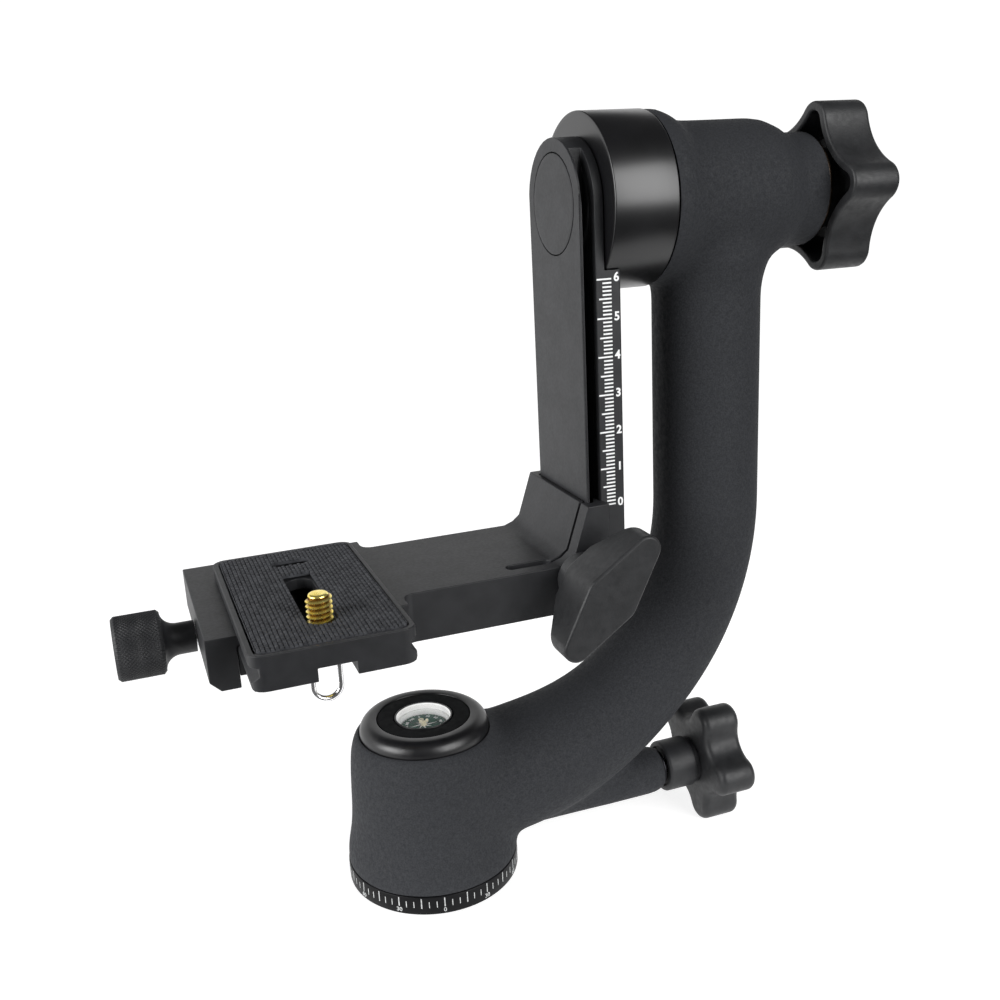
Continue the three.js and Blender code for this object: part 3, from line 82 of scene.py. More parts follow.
def mixed(material, share, first, second):
    # first and second are colours or the outputs of other nodes
    mix = addNode(material, "Mix", {"data_type": "RGBA"})
    link(material, share, mix.inputs["Factor"])
    for key, colour in (("A", first), ("B", second)):
        if isinstance(colour, tuple):
            mix.inputs[key].default_value = (*colour, 1)
        else:
            link(material, colour, mix.inputs[key])
    return mix.outputs["Result"]


def reckoned(material, operation, first, second):
    # second is a number or the output of another node
    node = addNode(material, "Math", {"operation": operation})
    link(material, first, node.inputs[0])
    if isinstance(second, float):
        node.inputs[1].default_value = second
    else:
        link(material, second, node.inputs[1])
    return node.outputs[0]


def newSurface(name, look):
    material = bpy.data.materials.new(name)
    material.use_nodes = True
    shader = material.node_tree.nodes["Principled BSDF"]
    shader.inputs["Metallic"].default_value = look.get("metal", 0.0)
    for socket, value in look.get("sockets", {}).items():
        shader.inputs[socket].default_value = value
    share = ranged(material, noiseOf(material, look["tint"], 3.0), 0, 1, *look.get("span", (0.35, 0.65)))
    colour = mixed(material, share, look["dark"], look["light"])
    if "edge" in look:  # corners are painted lighter: partly wear, partly a painted highlight
        corners = ranged(material, addNode(material, "NewGeometry").outputs["Pointiness"], 0, 1, 0.52, 0.6)
        colour = mixed(material, corners, colour, look["edge"])
    link(material, colour, shader.inputs["Base Color"])
    low, high, scale, *stretch = look["rough"]
    link(material, ranged(material, noiseOf(material, scale, 4.0, *stretch), low, high), shader.inputs["Roughness"])
    last = None
    for scale, strength, depth, *stretch in look["grain"]:
        bump = addNode(material, "Bump", Strength=strength, Distance=depth * mm)
        link(material, noiseOf(material, scale, 2.0, *stretch), bump.inputs["Height"])
        if last:
            link(material, last, bump.inputs["Normal"])
        last = bump.outputs["Normal"]
    link(material, last, shader.inputs["Normal"])
    return material


shine = "Specular IOR Level"
# The colour wanders from dark to light with a noise of scale tint, the roughness as (low, high, scale), and
# the grain has layers of (scale, strength, depth in mm). A fourth value stretches that noise.
finishes = {
    "coated_skin": {
        "dark": (0.0185, 0.0195, 0.022), "light": (0.029, 0.0305, 0.0345), "tint": 2300, "span": (0.36, 0.68),
        "rough": (0.7, 0.9, 900), "grain": [(60, 0.25, 0.6), (900, 0.22, 0.2), (2300, 0.3, 0.1)],
        "sockets": {shine: 0.22},
    },
    "drum_black": {
        "dark": (0.003, 0.003, 0.0036), "light": (0.0055, 0.0055, 0.0065), "tint": 90,
        "rough": (0.29, 0.31, 260, (12, 0.4, 0.4)), "grain": [(420, 0.02, 0.02, (12, 0.3, 0.3))],
        "sockets": {shine: 0.58},
    },
    "deep_black": {
        "dark": (0.003, 0.003, 0.0036), "light": (0.0055, 0.0055, 0.0065), "tint": 120,
        "rough": (0.38, 0.46, 350), "grain": [(1500, 0.08, 0.05)], "sockets": {shine: 0.12},
    },
    # painted shade: this near-black steel stands in for the shaded recess between the boss and the hub
    "black_oxide": {
        "dark": (0.022, 0.022, 0.025), "light": (0.04, 0.04, 0.044), "tint": 260, "metal": 1.0,
        "rough": (0.3, 0.42, 800), "grain": [(1300, 0.1, 0.04)],
    },
    "blasted_grey": {
        "dark": (0.012, 0.0125, 0.014), "light": (0.018, 0.0185, 0.0205), "tint": 160,
        "rough": (0.47, 0.53, 1200), "grain": [(3200, 0.22, 0.05)], "sockets": {shine: 0.34},
    },
    "gloss_black": {
        "dark": (0.003, 0.003, 0.0035), "light": (0.006, 0.006, 0.007), "tint": 120,
        "rough": (0.31, 0.37, 500), "grain": [(900, 0.05, 0.03)], "sockets": {shine: 0.5},
    },
    "inlay_matt": {
        "dark": (0.007, 0.0073, 0.0077), "light": (0.0105, 0.011, 0.0115), "tint": 400,
        "rough": (0.64, 0.76, 900), "grain": [(2200, 0.3, 0.05)], "sockets": {shine: 0.03},
    },
    "knob_plastic": {
        "dark": (0.012, 0.0125, 0.0135), "light": (0.019, 0.0195, 0.021), "tint": 220,
        # edge is the lighter colour on corners: partly wear, partly a painted highlight
        "edge": (0.035, 0.036, 0.038), "rough": (0.42, 0.54, 600),
        "grain": [(1700, 0.25, 0.08), (130, 0.1, 0.25)], "sockets": {shine: 0.36},
    },
    "pad_rubber": {
        "dark": (0.028, 0.029, 0.033), "light": (0.052, 0.054, 0.06), "tint": 500,
        "rough": (0.65, 0.85, 900), "grain": [(2500, 0.4, 0.06)], "sockets": {shine: 0.3},
    },
    "gilt_brass": {
        "dark": (0.9, 0.68, 0.1), "light": (1.0, 0.85, 0.28), "tint": 350, "metal": 0.9,
        "rough": (0.2, 0.28, 900), "grain": [(1500, 0.04, 0.02)],
    },
    "turned_brass": {
        "dark": (0.5, 0.34, 0.12), "light": (0.68, 0.5, 0.22), "tint": 300, "metal": 1.0,
        "rough": (0.24, 0.4, 700), "grain": [(900, 0.15, 0.04, (1, 1, 6))],
    },
    "plain_bronze": {
        "dark": (0.05, 0.036, 0.026), "light": (0.1, 0.07, 0.05), "tint": 250, "metal": 1.0,
        "rough": (0.3, 0.48, 700), "grain": [(1200, 0.15, 0.04)],
    },
    "bright_steel": {
        "dark": (0.48, 0.49, 0.51), "light": (0.66, 0.67, 0.69), "tint": 260, "metal": 1.0,
        "rough": (0.2, 0.38, 800), "grain": [(1300, 0.12, 0.04)],
    },
    "ring_chrome": {
        "dark": (0.9, 0.9, 0.91), "light": (0.96, 0.96, 0.97), "tint": 200, "metal": 1.0,
        "rough": (0.16, 0.26, 600), "grain": [(700, 0.04, 0.03)],
    },
    "white_nylon": {
        "dark": (0.68, 0.67, 0.62), "light": (0.78, 0.77, 0.73), "tint": 200,
        "rough": (0.42, 0.6, 500), "grain": [(1200, 0.15, 0.05)],
    },
    "scale_paint": {
        "dark": (0.78, 0.79, 0.79), "light": (0.9, 0.9, 0.9), "tint": 1500,
        "rough": (0.45, 0.65, 900), "grain": [(2600, 0.2, 0.02)],
    },
    "case_white": {
        "dark": (0.84, 0.84, 0.83), "light": (0.92, 0.92, 0.91), "tint": 300,
        "rough": (0.34, 0.5, 500), "grain": [(1200, 0.1, 0.04)],
    },
    "ring_paint": {
        "dark": (0.34, 0.35, 0.35), "light": (0.54, 0.55, 0.55), "tint": 1500,
        "rough": (0.5, 0.7, 900), "grain": [(2600, 0.2, 0.02)],
    },
    "dial_green": {
        "dark": (0.005, 0.045, 0.03), "light": (0.012, 0.1, 0.065), "tint": 900,
        "rough": (0.4, 0.6, 900), "grain": [(2200, 0.2, 0.02)],
    },
    "dial_cream": {
        "dark": (0.74, 0.68, 0.48), "light": (0.86, 0.8, 0.62), "tint": 900,
        "rough": (0.35, 0.55, 900), "grain": [(2200, 0.2, 0.02)],
    },
    "lens_glass": {
        "dark": (0.018, 0.02, 0.02), "light": (0.024, 0.026, 0.026), "tint": 300,
        "rough": (0.015, 0.04, 300), "grain": [(120, 0.02, 0.05)],
        "sockets": {"Alpha": 0.06, "Coat Weight": 1.0, "Coat IOR": 2.6, "Coat Roughness": 0.03},
    },
    "floor_pale": {
        "dark": (0.48, 0.48, 0.48), "light": (0.52, 0.52, 0.52), "tint": 6,
        "rough": (0.85, 0.95, 30), "grain": [(200, 0.05, 0.2)],
        "sockets": {"Emission Color": (1, 1, 1, 1), "Emission Strength": 0.78},
    },
}
surfaces = {name: newSurface(name, look) for name, look in finishes.items()}

# valleyShade is the brown of the painted shade in the screw's thread valleys
screwForm = {"x": -31.8, "y": -33.2, "radius": 3.175, "root": 2.5, "pitch": 1.27, "discTop": 91.8, "discLow": 90.5,
             "disc": 6.2, "top": 102.9, "lugLow": 88.8, "pivot": 89.65, "valleyShade": (0.3, 0.14, 0.02)}


def greaseThread(material, form):
    # painted shade: below its end the screw is painted browner towards its own axis, darkening the thread valleys
    own = addNode(material, "TexCoord").outputs["Object"]
    centred = addNode(material, "Mapping", Location=(-form["x"] * mm, -form["y"] * mm, 0), Scale=(1, 1, 0))
    link(material, own, centred.inputs["Vector"])
    reach = addNode(material, "VectorMath", {"operation": "LENGTH"})
    link(material, centred.outputs["Vector"], reach.inputs[0])
    valley, crest = (form["root"] + 0.02) * mm, (form["radius"] - 0.15) * mm
    crestShare = ranged(material, reach.outputs["Value"], 0, 1, valley, crest)
    place = addNode(material, "SeparateXYZ")
    link(material, own, place.inputs[0])
    end = reckoned(material, "GREATER_THAN", place.outputs["Z"], (form["top"] - 0.5) * mm)
    base = material.node_tree.nodes["Principled BSDF"].inputs["Base Color"]
    unshadedShare = reckoned(material, "MAXIMUM", crestShare, end)
    link(material, mixed(material, unshadedShare, form["valleyShade"], base.links[0].from_socket), base)


greaseThread(surfaces["gilt_brass"], screwForm)
print("finishes made")


# ---- shape tools
def roundCorners(corners, steps=4):
    # corners are (across, along, radius); a corner without a radius stays sharp
    made = []
    for i, corner in enumerate(corners):
        here = Vector(corner[:2])
        radius = corner[2] if len(corner) > 2 else 0
        if not radius:
            made.append(here)
            continue
        back = (Vector(corners[i - 1][:2]) - here).normalized()
        ahead = (Vector(corners[(i + 1) % len(corners)][:2]) - here).normalized()
        half = back.angle(ahead) / 2
        start, end = (here + way * radius / math.tan(half) for way in (back, ahead))
        centre = here + (back + ahead).normalized() * radius / math.sin(half)
        for step in range(steps + 1):
            made.append(centre + (start.lerp(end, step / steps) - centre).normalized() * radius)
    return made


def curveThrough(points, steps=5):
    line = [Vector(p) for p in points]
    made = []
    for i in range(len(line) - 1):
        a, b, c, d = line[max(i - 1, 0)], line[i], line[i + 1], line[min(i + 2, len(line) - 1)]
        for step in range(steps):
            t = step / steps
            bend = (2 * a - 5 * b + 4 * c - d) * t * t + (3 * b - a - 3 * c + d) * t ** 3
            made.append((2 * b + (c - a) * t + bend) * 0.5)
    return made + [line[-1]]


def arcPoints(centre, reach, start, end, count):
    return [(centre[0] + reach[0] * math.cos(a), centre[1] + reach[1] * math.sin(a))
            for a in np.linspace(start, end, count)]


def turned(profile, segments=96):
    # profile points are (radius, along Z); the line is closed unless both its ends are on the axis
    bm = bmesh.new()
    line = [bm.verts.new((p[0], 0, p[1])) for p in profile]
    edges = [bm.edges.new(pair) for pair in zip(line, line[1:])]
    if profile[0][0] > 1e-6 or profile[-1][0] > 1e-6:
        edges.append(bm.edges.new((line[-1], line[0])))
    bmesh.ops.spin(
        bm, geom=line + edges, cent=(0, 0, 0), axis=(0, 0, 1), angle=math.tau, steps=segments, use_merge=True
    )
    return tidy(bm)


def tidy(bm):
    bmesh.ops.remove_doubles(bm, verts=bm.verts, dist=1e-4)
    bmesh.ops.recalc_face_normals(bm, faces=bm.faces)
    return bm


def moved(bm, *matrices):
    for matrix in matrices:
        bmesh.ops.transform(bm, matrix=matrix, verts=bm.verts)
    return bm


def shift(x=0.0, y=0.0, z=0.0):
    return Matrix.Translation((x, y, z))


def addInto(bm, other):
    mesh = bpy.data.meshes.new("carrier")
    other.to_mesh(mesh)
    other.free()
    bm.from_mesh(mesh)
    bpy.data.meshes.remove(mesh)
    return bm


def joined(*parts):
    whole = bmesh.new()
    for part in parts:
        addInto(whole, part)
    return whole


def box(low, high):
    bm = bmesh.new()
    size = [b - a for a, b in zip(low, high)]
    middle = [(a + b) / 2 for a, b in zip(low, high)]
    bmesh.ops.create_cube(bm, size=1)
    return moved(bm, Matrix.Diagonal((*size, 1)), shift(*middle))


def turnedAlongX(profile, segments, height=0):
    return moved(turned(profile, segments), toX, shift(z=height))


def sleeveLine(form, steps=2):
    # the outline of a sleeve or washer with its outer edges rounded
    return roundCorners([
        (form["bore"], form["low"]), (form["outer"], form["low"], form["edge"]),
        (form["outer"], form["high"], form["edge"]), (form["bore"], form["high"]),
    ], steps)


def prism(points, depth):
    # an outline in the XY plane, pulled up along Z
    bm = bmesh.new()
    face = bm.faces.new([bm.verts.new((*p, 0)) for p in points])
    top = bmesh.ops.extrude_face_region(bm, geom=[face])["geom"]
    bmesh.ops.translate(bm, vec=(0, 0, depth), verts=[v for v in top if isinstance(v, bmesh.types.BMVert)])
    bmesh.ops.recalc_face_normals(bm, faces=bm.faces)
    return bm


def softened(bm, offset, angle=30, segments=3, keep=None, clamp=True):
    # rounds the edges that are sharper than angle, all of them or those that keep picks
    sharp = [
        e for e in bm.edges
        if len(e.link_faces) == 2 and e.calc_face_angle(0) > math.radians(angle) and (keep is None or keep(e))
    ]
    bmesh.ops.bevel(
        bm, geom=sharp, offset=offset, offset_type="OFFSET", segments=segments, profile=0.5, affect="EDGES",
        clamp_overlap=clamp, material=-1,
    )
    return bm


def toMesh(bm, name):
    bmesh.ops.scale(bm, vec=(mm, mm, mm), verts=bm.verts)
    mesh = bpy.data.meshes.new(name)
    bm.to_mesh(mesh)
    bm.free()
    return mesh


def finished(bm, name, finish, body, stands=(), angle=35, even=False):
    # finish names one surface or a list of them
    mesh = toMesh(bm, name)
    for each in [finish] if isinstance(finish, str) else finish:
        mesh.materials.append(surfaces[each])
    mesh.shade_smooth()
    mesh.set_sharp_from_angle(angle=math.radians(angle))
    made = bpy.data.objects.new(name, mesh)
    scene.collection.objects.link(made)
    if even:  # wide flat faces stay flat beside their rounded edges
        weighting = made.modifiers.new("even", "WEIGHTED_NORMAL")
        weighting.keep_sharp = True
        weighting.weight = 100
    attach(made, body)
    if stands:
        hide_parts(*stands)


def nodeCopy(node):
    bm = bmesh.new()
    bm.from_mesh(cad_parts[node].data)
    bmesh.ops.scale(bm, vec=(1 / mm, 1 / mm, 1 / mm), verts=bm.verts)
    bmesh.ops.remove_doubles(bm, verts=bm.verts, dist=2e-3)
    bmesh.ops.dissolve_limit(bm, angle_limit=math.radians(1), verts=bm.verts, edges=bm.edges)
    return bm


def carved(bm, cutters, operation="DIFFERENCE"):
    # exact boolean of one bmesh by others, through the modifier
    target = bpy.data.objects.new("carving", bpy.data.meshes.new("carving"))
    bm.to_mesh(target.data)
    bm.free()
    scene.collection.objects.link(target)
    tools = []
    for cutter in cutters:
        tool = bpy.data.objects.new("cutter", bpy.data.meshes.new("cutter"))
        cutter.to_mesh(tool.data)
        cutter.free()
        scene.collection.objects.link(tool)
        tools.append(tool)
        step = target.modifiers.new("cut", "BOOLEAN")
        step.operation = operation
        step.object = tool
        step.solver = "EXACT"
    graph = bpy.context.evaluated_depsgraph_get()
    mesh = bpy.data.meshes.new_from_object(target.evaluated_get(graph))
    for each in [target, *tools]:
        bpy.data.objects.remove(each)
    made = bmesh.new()
    made.from_mesh(mesh)
    bpy.data.meshes.remove(mesh)
    return made


def addWords(bm, words, size, where, weight=0.02, thickness=0.05):
    # digits as a thin raised mesh; where maps a flat point (across, up, out) to its place
    curve = bpy.data.curves.new("words", "FONT")
    curve.body = words
    curve.size = size
    curve.extrude = thickness
    curve.offset = weight * size
    curve.align_x = "CENTER"
    curve.align_y = "CENTER"
    carrier = bpy.data.objects.new("words", curve)
    mesh = bpy.data.meshes.new_from_object(carrier)
    count = len(bm.verts)
    bm.from_mesh(mesh)
    bm.verts.ensure_lookup_table()
    for vert in bm.verts[count:]:
        vert.co = where(vert.co)
    bpy.data.objects.remove(carrier)
    bpy.data.meshes.remove(mesh)


def thread(radius, root, pitch, low, high, perTurn=28, inside=False):
    # a closed helical ridge round Z from low to high
    bm = bmesh.new()
    foot = root + (0.15 if inside else -0.15)  # the ridge starts inside the wall that carries it
    tips = [(foot, -0.48), (radius, -0.06), (radius, 0.06), (foot, 0.48)]
    ring = [bm.verts.new((r, 0, low + pitch * (0.5 + z))) for r, z in tips]
    face = bm.faces.new(ring)
    steps = max(int((high - low - pitch) / pitch * perTurn), 1)
    edges = list(face.edges)
    bmesh.ops.spin(
        bm, geom=ring + edges + [face], cent=(0, 0, 0), axis=(0, 0, 1), dvec=(0, 0, pitch / perTurn),
        angle=math.tau * steps / perTurn, steps=steps, use_merge=False,
    )
    bmesh.ops.holes_fill(bm, edges=bm.edges)
    bmesh.ops.recalc_face_normals(bm, faces=bm.faces)
    return bm


def starRadius(angle, tip, lobe, valley, count=5):
    # polar radius of round lobes joined by hollows that meet them tangentially
    centre = tip - lobe
    half = math.pi / count
    reach = centre * math.cos(half)
    hollow = (lobe ** 2 - valley ** 2 - centre ** 2 + 2 * valley * reach) / (2 * (valley - reach - lobe))
    far = valley + hollow
    toHollow = Vector((far * math.cos(half) - centre, far * math.sin(half))).normalized()
    meet = math.atan2(lobe * toHollow.y, centre + lobe * toHollow.x)
    turn = abs((angle + half) % (2 * half) - half)
    if turn < meet:
        return centre * math.cos(turn) + math.sqrt(lobe ** 2 - (centre * math.sin(turn)) ** 2)
    rest = half - turn
    return far * math.cos(rest) - math.sqrt(hollow ** 2 - (far * math.sin(rest)) ** 2)


def starSolid(stations, size, turn, segments=220):
    # a star-shaped ring is pulled through stations (along, inset) and both its ends are closed
    bm = bmesh.new()
    ring = bmesh.ops.create_circle(bm, segments=segments, radius=1)["verts"]
    edges = list(bm.edges)
    for i, (along, inset) in enumerate(stations):
        if i:
            out = bmesh.ops.extrude_edge_only(bm, edges=edges)["geom"]
            ring = [v for v in out if isinstance(v, bmesh.types.BMVert)]
            fresh = set(ring)
            edges = [e for e in out if isinstance(e, bmesh.types.BMEdge) and set(e.verts) <= fresh]
        else:
            first = list(edges)
        for vert in ring:
            angle = math.atan2(vert.co.y, vert.co.x)
            radius = starRadius(angle, *(value - inset for value in size))
            vert.co = (radius * math.cos(angle), radius * math.sin(angle), along)
    for loop in (first, edges):
        bmesh.ops.edgeloop_fill(bm, edges=loop)
    # plane XY of the star becomes YZ, its axis Z becomes X
    basis = Matrix(((0, 0, 1, 0), (1, 0, 0, 0), (0, 1, 0, 0), (0, 0, 0, 1)))
    moved(bm, Matrix.Rotation(turn, 4, "Z"), basis)
    bmesh.ops.recalc_face_normals(bm, faces=bm.faces)
    return bm


# ---- arm with its column, boss and tilt housing under one coating
arm = {
    "columnRadius": 24.7,
    "columnLow": 6.0,
    "columnTop": 44.0,
    "radiusShares": [1, 1, 0.985, 0.945, 0.915, 0.9, 0.882, 0.858, 0.82, 0.79],
    "heightShares": [0, 0.05, 0.12, 0.22, 0.38, 0.54, 0.74, 0.88, 0.965, 1],
    "tubeRadius": 15.2,
    "tubeRoot": 18.2,
    "rootLift": 1.3,
    "bend": 76.6,
    "tubeX": 91.1,
    "bendHeight": 100,
    "bendShare": 0.93,
    "flare": 17.6,
    "flareLow": 158,
    "flareHigh": 169,
    "housing": [(66, 22.9), (73.6, 22.9), (76.2, 21.9), (78.8, 20.3), (81, 19.7), (102.5, 19.7), (105.9, 19.2),
                (109.5, 17.81), (112.4, 16.1), (113.8, 15.5), (124, 15.5)],
    "housingFace": 70.6,
    "neckFace": 120.6,
    "bossHeight": 13,
    "bossRadius": 7.3,
    "bossEnd": 73.8,
    "voxel": 0.75,
    "blend": 6.5,
    "blendPasses": 60,
}
armBores = {
    "spindle": [(0, 1), (21.3, 1), (21.3, 7.3), (12, 7.3), (12, 33.4), (13.2, 33.4), (13.2, 60), (0, 60)],
    "cap": [(0, 37.2), (16.1, 37.2), (16.1, 41.2), (18.7, 41.2), (18.7, 60), (0, 60)],
    "bearings": [(0, 68), (13.1, 68), (13.1, 76.9), (9.9, 76.9), (9.9, 114.9), (13.1, 114.9), (13.1, 123), (0, 123)],
    "lockScrew": [(0, 8), (3.3, 8), (3.3, 78), (0, 78)],
}


def tubeStations():
    # (x, z, lean, radius) of the rings along the tube
    bendX = arm["tubeX"] - arm["bend"]
    sweep = arm["bendShare"] * math.pi / 2
    stations = []
    for i in range(41):
        share = 1 - i / 40
        angle = share * sweep
        t = min(max((share - 0.52) / 0.48, 0), 1)
        swell = t * t * (3 - 2 * t)
        radius = arm["tubeRadius"] + (arm["tubeRoot"] - arm["tubeRadius"]) * swell
        x = bendX + arm["bend"] * math.cos(angle)
        z = arm["bendHeight"] - arm["bend"] * math.sin(angle) + arm["rootLift"] * swell
        stations.append((x, z, -angle, radius))
    rootZ = arm["bendHeight"] - arm["bend"] * math.sin(sweep) + arm["rootLift"]
    stations.insert(0, (4, rootZ, -math.pi / 2, arm["tubeRoot"]))
    span = arm["flareHigh"] - arm["flareLow"]
    for i in range(7):
        share = i / 6
        radius = arm["tubeRadius"] + (arm["flare"] - arm["tubeRadius"]) * share ** 2
        stations.append((arm["tubeX"], arm["flareLow"] + span * share, 0, radius))
    stations.append((arm["tubeX"], tiltHeight, 0, arm["tubeRadius"]))
    return stations


def tubeSolid():
    bm = bmesh.new()
    edges = []
    for x, z, lean, radius in tubeStations():
        fit = shift(x, 0, z) @ Matrix.Rotation(-lean, 4, "Y")
        ring = bmesh.ops.create_circle(bm, segments=64, radius=radius, matrix=fit)["verts"]
        loop = list({e for v in ring for e in v.link_edges})
        if edges:
            bmesh.ops.bridge_loops(bm, edges=edges + loop)
        edges = loop
    bmesh.ops.holes_fill(bm, edges=bm.edges)
    bmesh.ops.recalc_face_normals(bm, faces=bm.faces)
    return bm


def columnLine():
    height = arm["columnTop"] - arm["columnLow"]
    points = [
        (arm["columnRadius"] * r, arm["columnLow"] + height * h)
        for r, h in zip(arm["radiusShares"], arm["heightShares"])
    ]
    return [(p.x, p.y) for p in curveThrough(points, 4)]


def bossLine():
    end, radius = arm["bossEnd"], arm["bossRadius"]
    return [(radius, 4), (radius, end - 4.4), (radius * 0.97, end - 2), (radius * 0.88, end), (radius * 0.6, end + 3)]


def blendGroup(points):
    # 1 where two of the arm's shapes are close to each other, fading to 0 away from there
    x, y, z = points.T
    spine = np.array([(acrossX, upZ, radius) for acrossX, upZ, _, radius in tubeStations()])
    tube = np.full(len(x), 1e9)
    for i in range(len(spine) - 1):
        a, b = spine[i, :2], spine[i + 1, :2]
        d = b - a
        t = np.clip(((x - a[0]) * d[0] + (z - a[1]) * d[1]) / (d @ d), 0, 1)
        off = np.sqrt((x - a[0] - t * d[0]) ** 2 + y ** 2 + (z - a[1] - t * d[1]) ** 2)
        tube = np.minimum(tube, off - (spine[i, 2] + t * (spine[i + 1, 2] - spine[i, 2])))
    radii, heights = zip(*columnLine())
    column = np.hypot(x, y) - np.interp(z, heights, radii)
    column = np.where(z > arm["columnTop"] + 1, 1e9, column)
    housing = np.hypot(y, z - tiltHeight) - np.interp(x, *zip(*arm["housing"]))
    housing = np.where(x < arm["housingFace"] - 8, 1e9, housing)
    boss = np.hypot(y, z - arm["bossHeight"]) - arm["bossRadius"]
    boss = np.where(x > arm["bossEnd"] + 4, 1e9, boss)
    second = np.sort(np.abs(np.stack([tube, column, housing, boss])), axis=0)[1]
    return np.clip(1.35 - second / arm["blend"], 0, 1) ** 0.7


def armSkin():
    top = arm["columnTop"] + 0.4
    column = [(0, 2), (arm["columnRadius"], 2), *columnLine(), (18.9, top), (0, top)]
    housing = [(0, arm["housing"][0][0]), *((r, a) for a, r in arm["housing"]), (0, arm["housing"][-1][0])]
    whole = joined(
        turned(column, 128),
        tubeSolid(),
        turnedAlongX(housing, 112, tiltHeight),
        turnedAlongX([(0, 2), *bossLine(), (0, arm["bossEnd"] + 3)], 64, arm["bossHeight"]),
    )
    blank = bpy.data.objects.new("arm_blank", toMesh(whole, "arm_blank"))
    scene.collection.objects.link(blank)
    remesh = blank.modifiers.new("skin", "REMESH")
    remesh.mode = "VOXEL"
    remesh.voxel_size = arm["voxel"] * mm
    graph = bpy.context.evaluated_depsgraph_get()
    mesh = bpy.data.meshes.new_from_object(blank.evaluated_get(graph))
    bpy.data.objects.remove(blank)
    points = np.empty(len(mesh.vertices) * 3)
    mesh.vertices.foreach_get("co", points)
    weights = blendGroup(points.reshape(-1, 3) / mm)
    soft = bpy.data.objects.new("arm_soft", mesh)
    scene.collection.objects.link(soft)
    everywhere = soft.modifiers.new("even", "SMOOTH")
    everywhere.iterations = 4
    everywhere.factor = 0.5
    group = soft.vertex_groups.new(name="blend")
    for i in np.nonzero(weights > 0.01)[0]:
        group.add([int(i)], float(weights[i]), "REPLACE")
    fillet = soft.modifiers.new("fillet", "SMOOTH")
    fillet.iterations = arm["blendPasses"]
    fillet.factor = 0.7
    fillet.vertex_group = "blend"
    graph = bpy.context.evaluated_depsgraph_get()
    mesh = bpy.data.meshes.new_from_object(soft.evaluated_get(graph))
    bpy.data.objects.remove(soft)
    bm = bmesh.new()
    bm.from_mesh(mesh)
    bmesh.ops.scale(bm, vec=(1 / mm, 1 / mm, 1 / mm), verts=bm.verts)
    for where, normal in (
        ((0, 0, arm["columnLow"]), (0, 0, -1)),
        ((arm["housingFace"], 0, 0), (-1, 0, 0)),
        ((arm["neckFace"], 0, 0), (1, 0, 0)),
    ):
        # the low and high faces are cut square, and only the side that they belong to is touched
        part = [
            f for f in bm.faces
            if abs((f.calc_center_median() - Vector(where)).dot(Vector(normal))) < 6
            and (normal[2] or f.calc_center_median().z > tiltHeight - 26)
        ]
        geom = list({g for f in part for g in (*f.verts, *f.edges)}) + part
        made = bmesh.ops.bisect_plane(bm, geom=geom, plane_co=where, plane_no=normal, clear_outer=True)
        rim = [g for g in made["geom_cut"] if isinstance(g, bmesh.types.BMEdge)]
        bmesh.ops.holes_fill(bm, edges=rim)
    bores = [
        turned(armBores["spindle"], 64),
        turned(armBores["cap"], 96),
        turnedAlongX(armBores["bearings"], 64, tiltHeight),
        turnedAlongX(armBores["lockScrew"], 32, arm["bossHeight"]),
    ]
    end = box((arm["bossEnd"], -12, 2), (arm["bossEnd"] + 6, 12, 24))
    return carved(bm, [*bores, end])


finished(armSkin(), "arm_skin", "coated_skin", "arm", ["arm_casting"], 42)
print("arm coated")

# ---- base ring, its degree scale, screws and threaded bush
baseForm = {"radius": 24.7, "height": 5.6, "edge": 0.35, "flange": 14.7, "bore": 7.3, "seat": 3.0,
            "screwCircle": 11, "sink": [(0, -1), (3, -1), (3, 0.3), (1.7, 1.7), (1.7, 6), (0, 6)]}
ringLine = roundCorners([
    (baseForm["bore"], 0, 0.3), (baseForm["radius"], 0, baseForm["edge"]),
    (baseForm["radius"], baseForm["height"], baseForm["edge"]), (baseForm["flange"], baseForm["height"], 0.2),
    (baseForm["flange"], baseForm["seat"]), (baseForm["bore"], baseForm["seat"]),
], 3)
screwSpots = [
    Matrix.Rotation(math.tau * i / 3, 4, "Z") @ Vector((baseForm["screwCircle"], 0, 0)) for i in range(3)
]
sinks = [moved(turned(baseForm["sink"], 40), Matrix.Translation(spot)) for spot in screwSpots]
finished(carved(turned(ringLine, 180), sinks), "base_ring_body", "deep_black", "base", ["base_ring"])

degreeScale = {"numbered": (2.4, 5.2), "fifteen": (2.1, 5.2), "short": (2.3, 4.2), "width": 0.29,
               "shortShare": 0.75, "proud": 0.06, "sunk": 0.03, "digits": 1.75, "digitsAt": 1.35, "start": -10}


def wrapped(across, up, out, turn):
    angle = turn + across / baseForm["radius"]
    radius = baseForm["radius"] + out
    return Vector((radius * math.sin(angle), -radius * math.cos(angle), up))


def degreeMarks():
    bm = bmesh.new()
    for i in range(72):
        kind = "numbered" if i % 6 == 0 else "fifteen" if i % 3 == 0 else "short"
        low, high = degreeScale[kind]
        half = degreeScale["width"] / 2 * (degreeScale["shortShare"] if kind == "short" else 1)
        mark = box((-half, -degreeScale["proud"], low), (half, degreeScale["sunk"], high))
        turn = math.radians(5 * i + degreeScale["start"])
        for vert in mark.verts:
            vert.co = wrapped(vert.co.x, vert.co.z, -vert.co.y, turn)
        addInto(bm, mark)
        if kind == "numbered":
            addWords(bm, str(min(5 * i, 360 - 5 * i)), degreeScale["digits"],
                     lambda p, turn=turn: wrapped(p.x, degreeScale["digitsAt"] + p.y, p.z + 0.01, turn), 0.015)
    bmesh.ops.recalc_face_normals(bm, faces=bm.faces)
    return bm


finished(degreeMarks(), "base_scale", "ring_paint", "base")

hexKey = [(math.cos(math.tau * i / 6), math.sin(math.tau * i / 6)) for i in range(6)]


def baseScrew(spot):
    line = roundCorners([(0, 0.3), (2.4, 0.3, 0.12), (1.1, 1.7), (1.1, 5), (0, 5)], 3)
    socket = moved(prism(hexKey, 1.4), shift(z=-0.3))
    return moved(carved(turned(line, 40), [socket]), Matrix.Translation(spot))


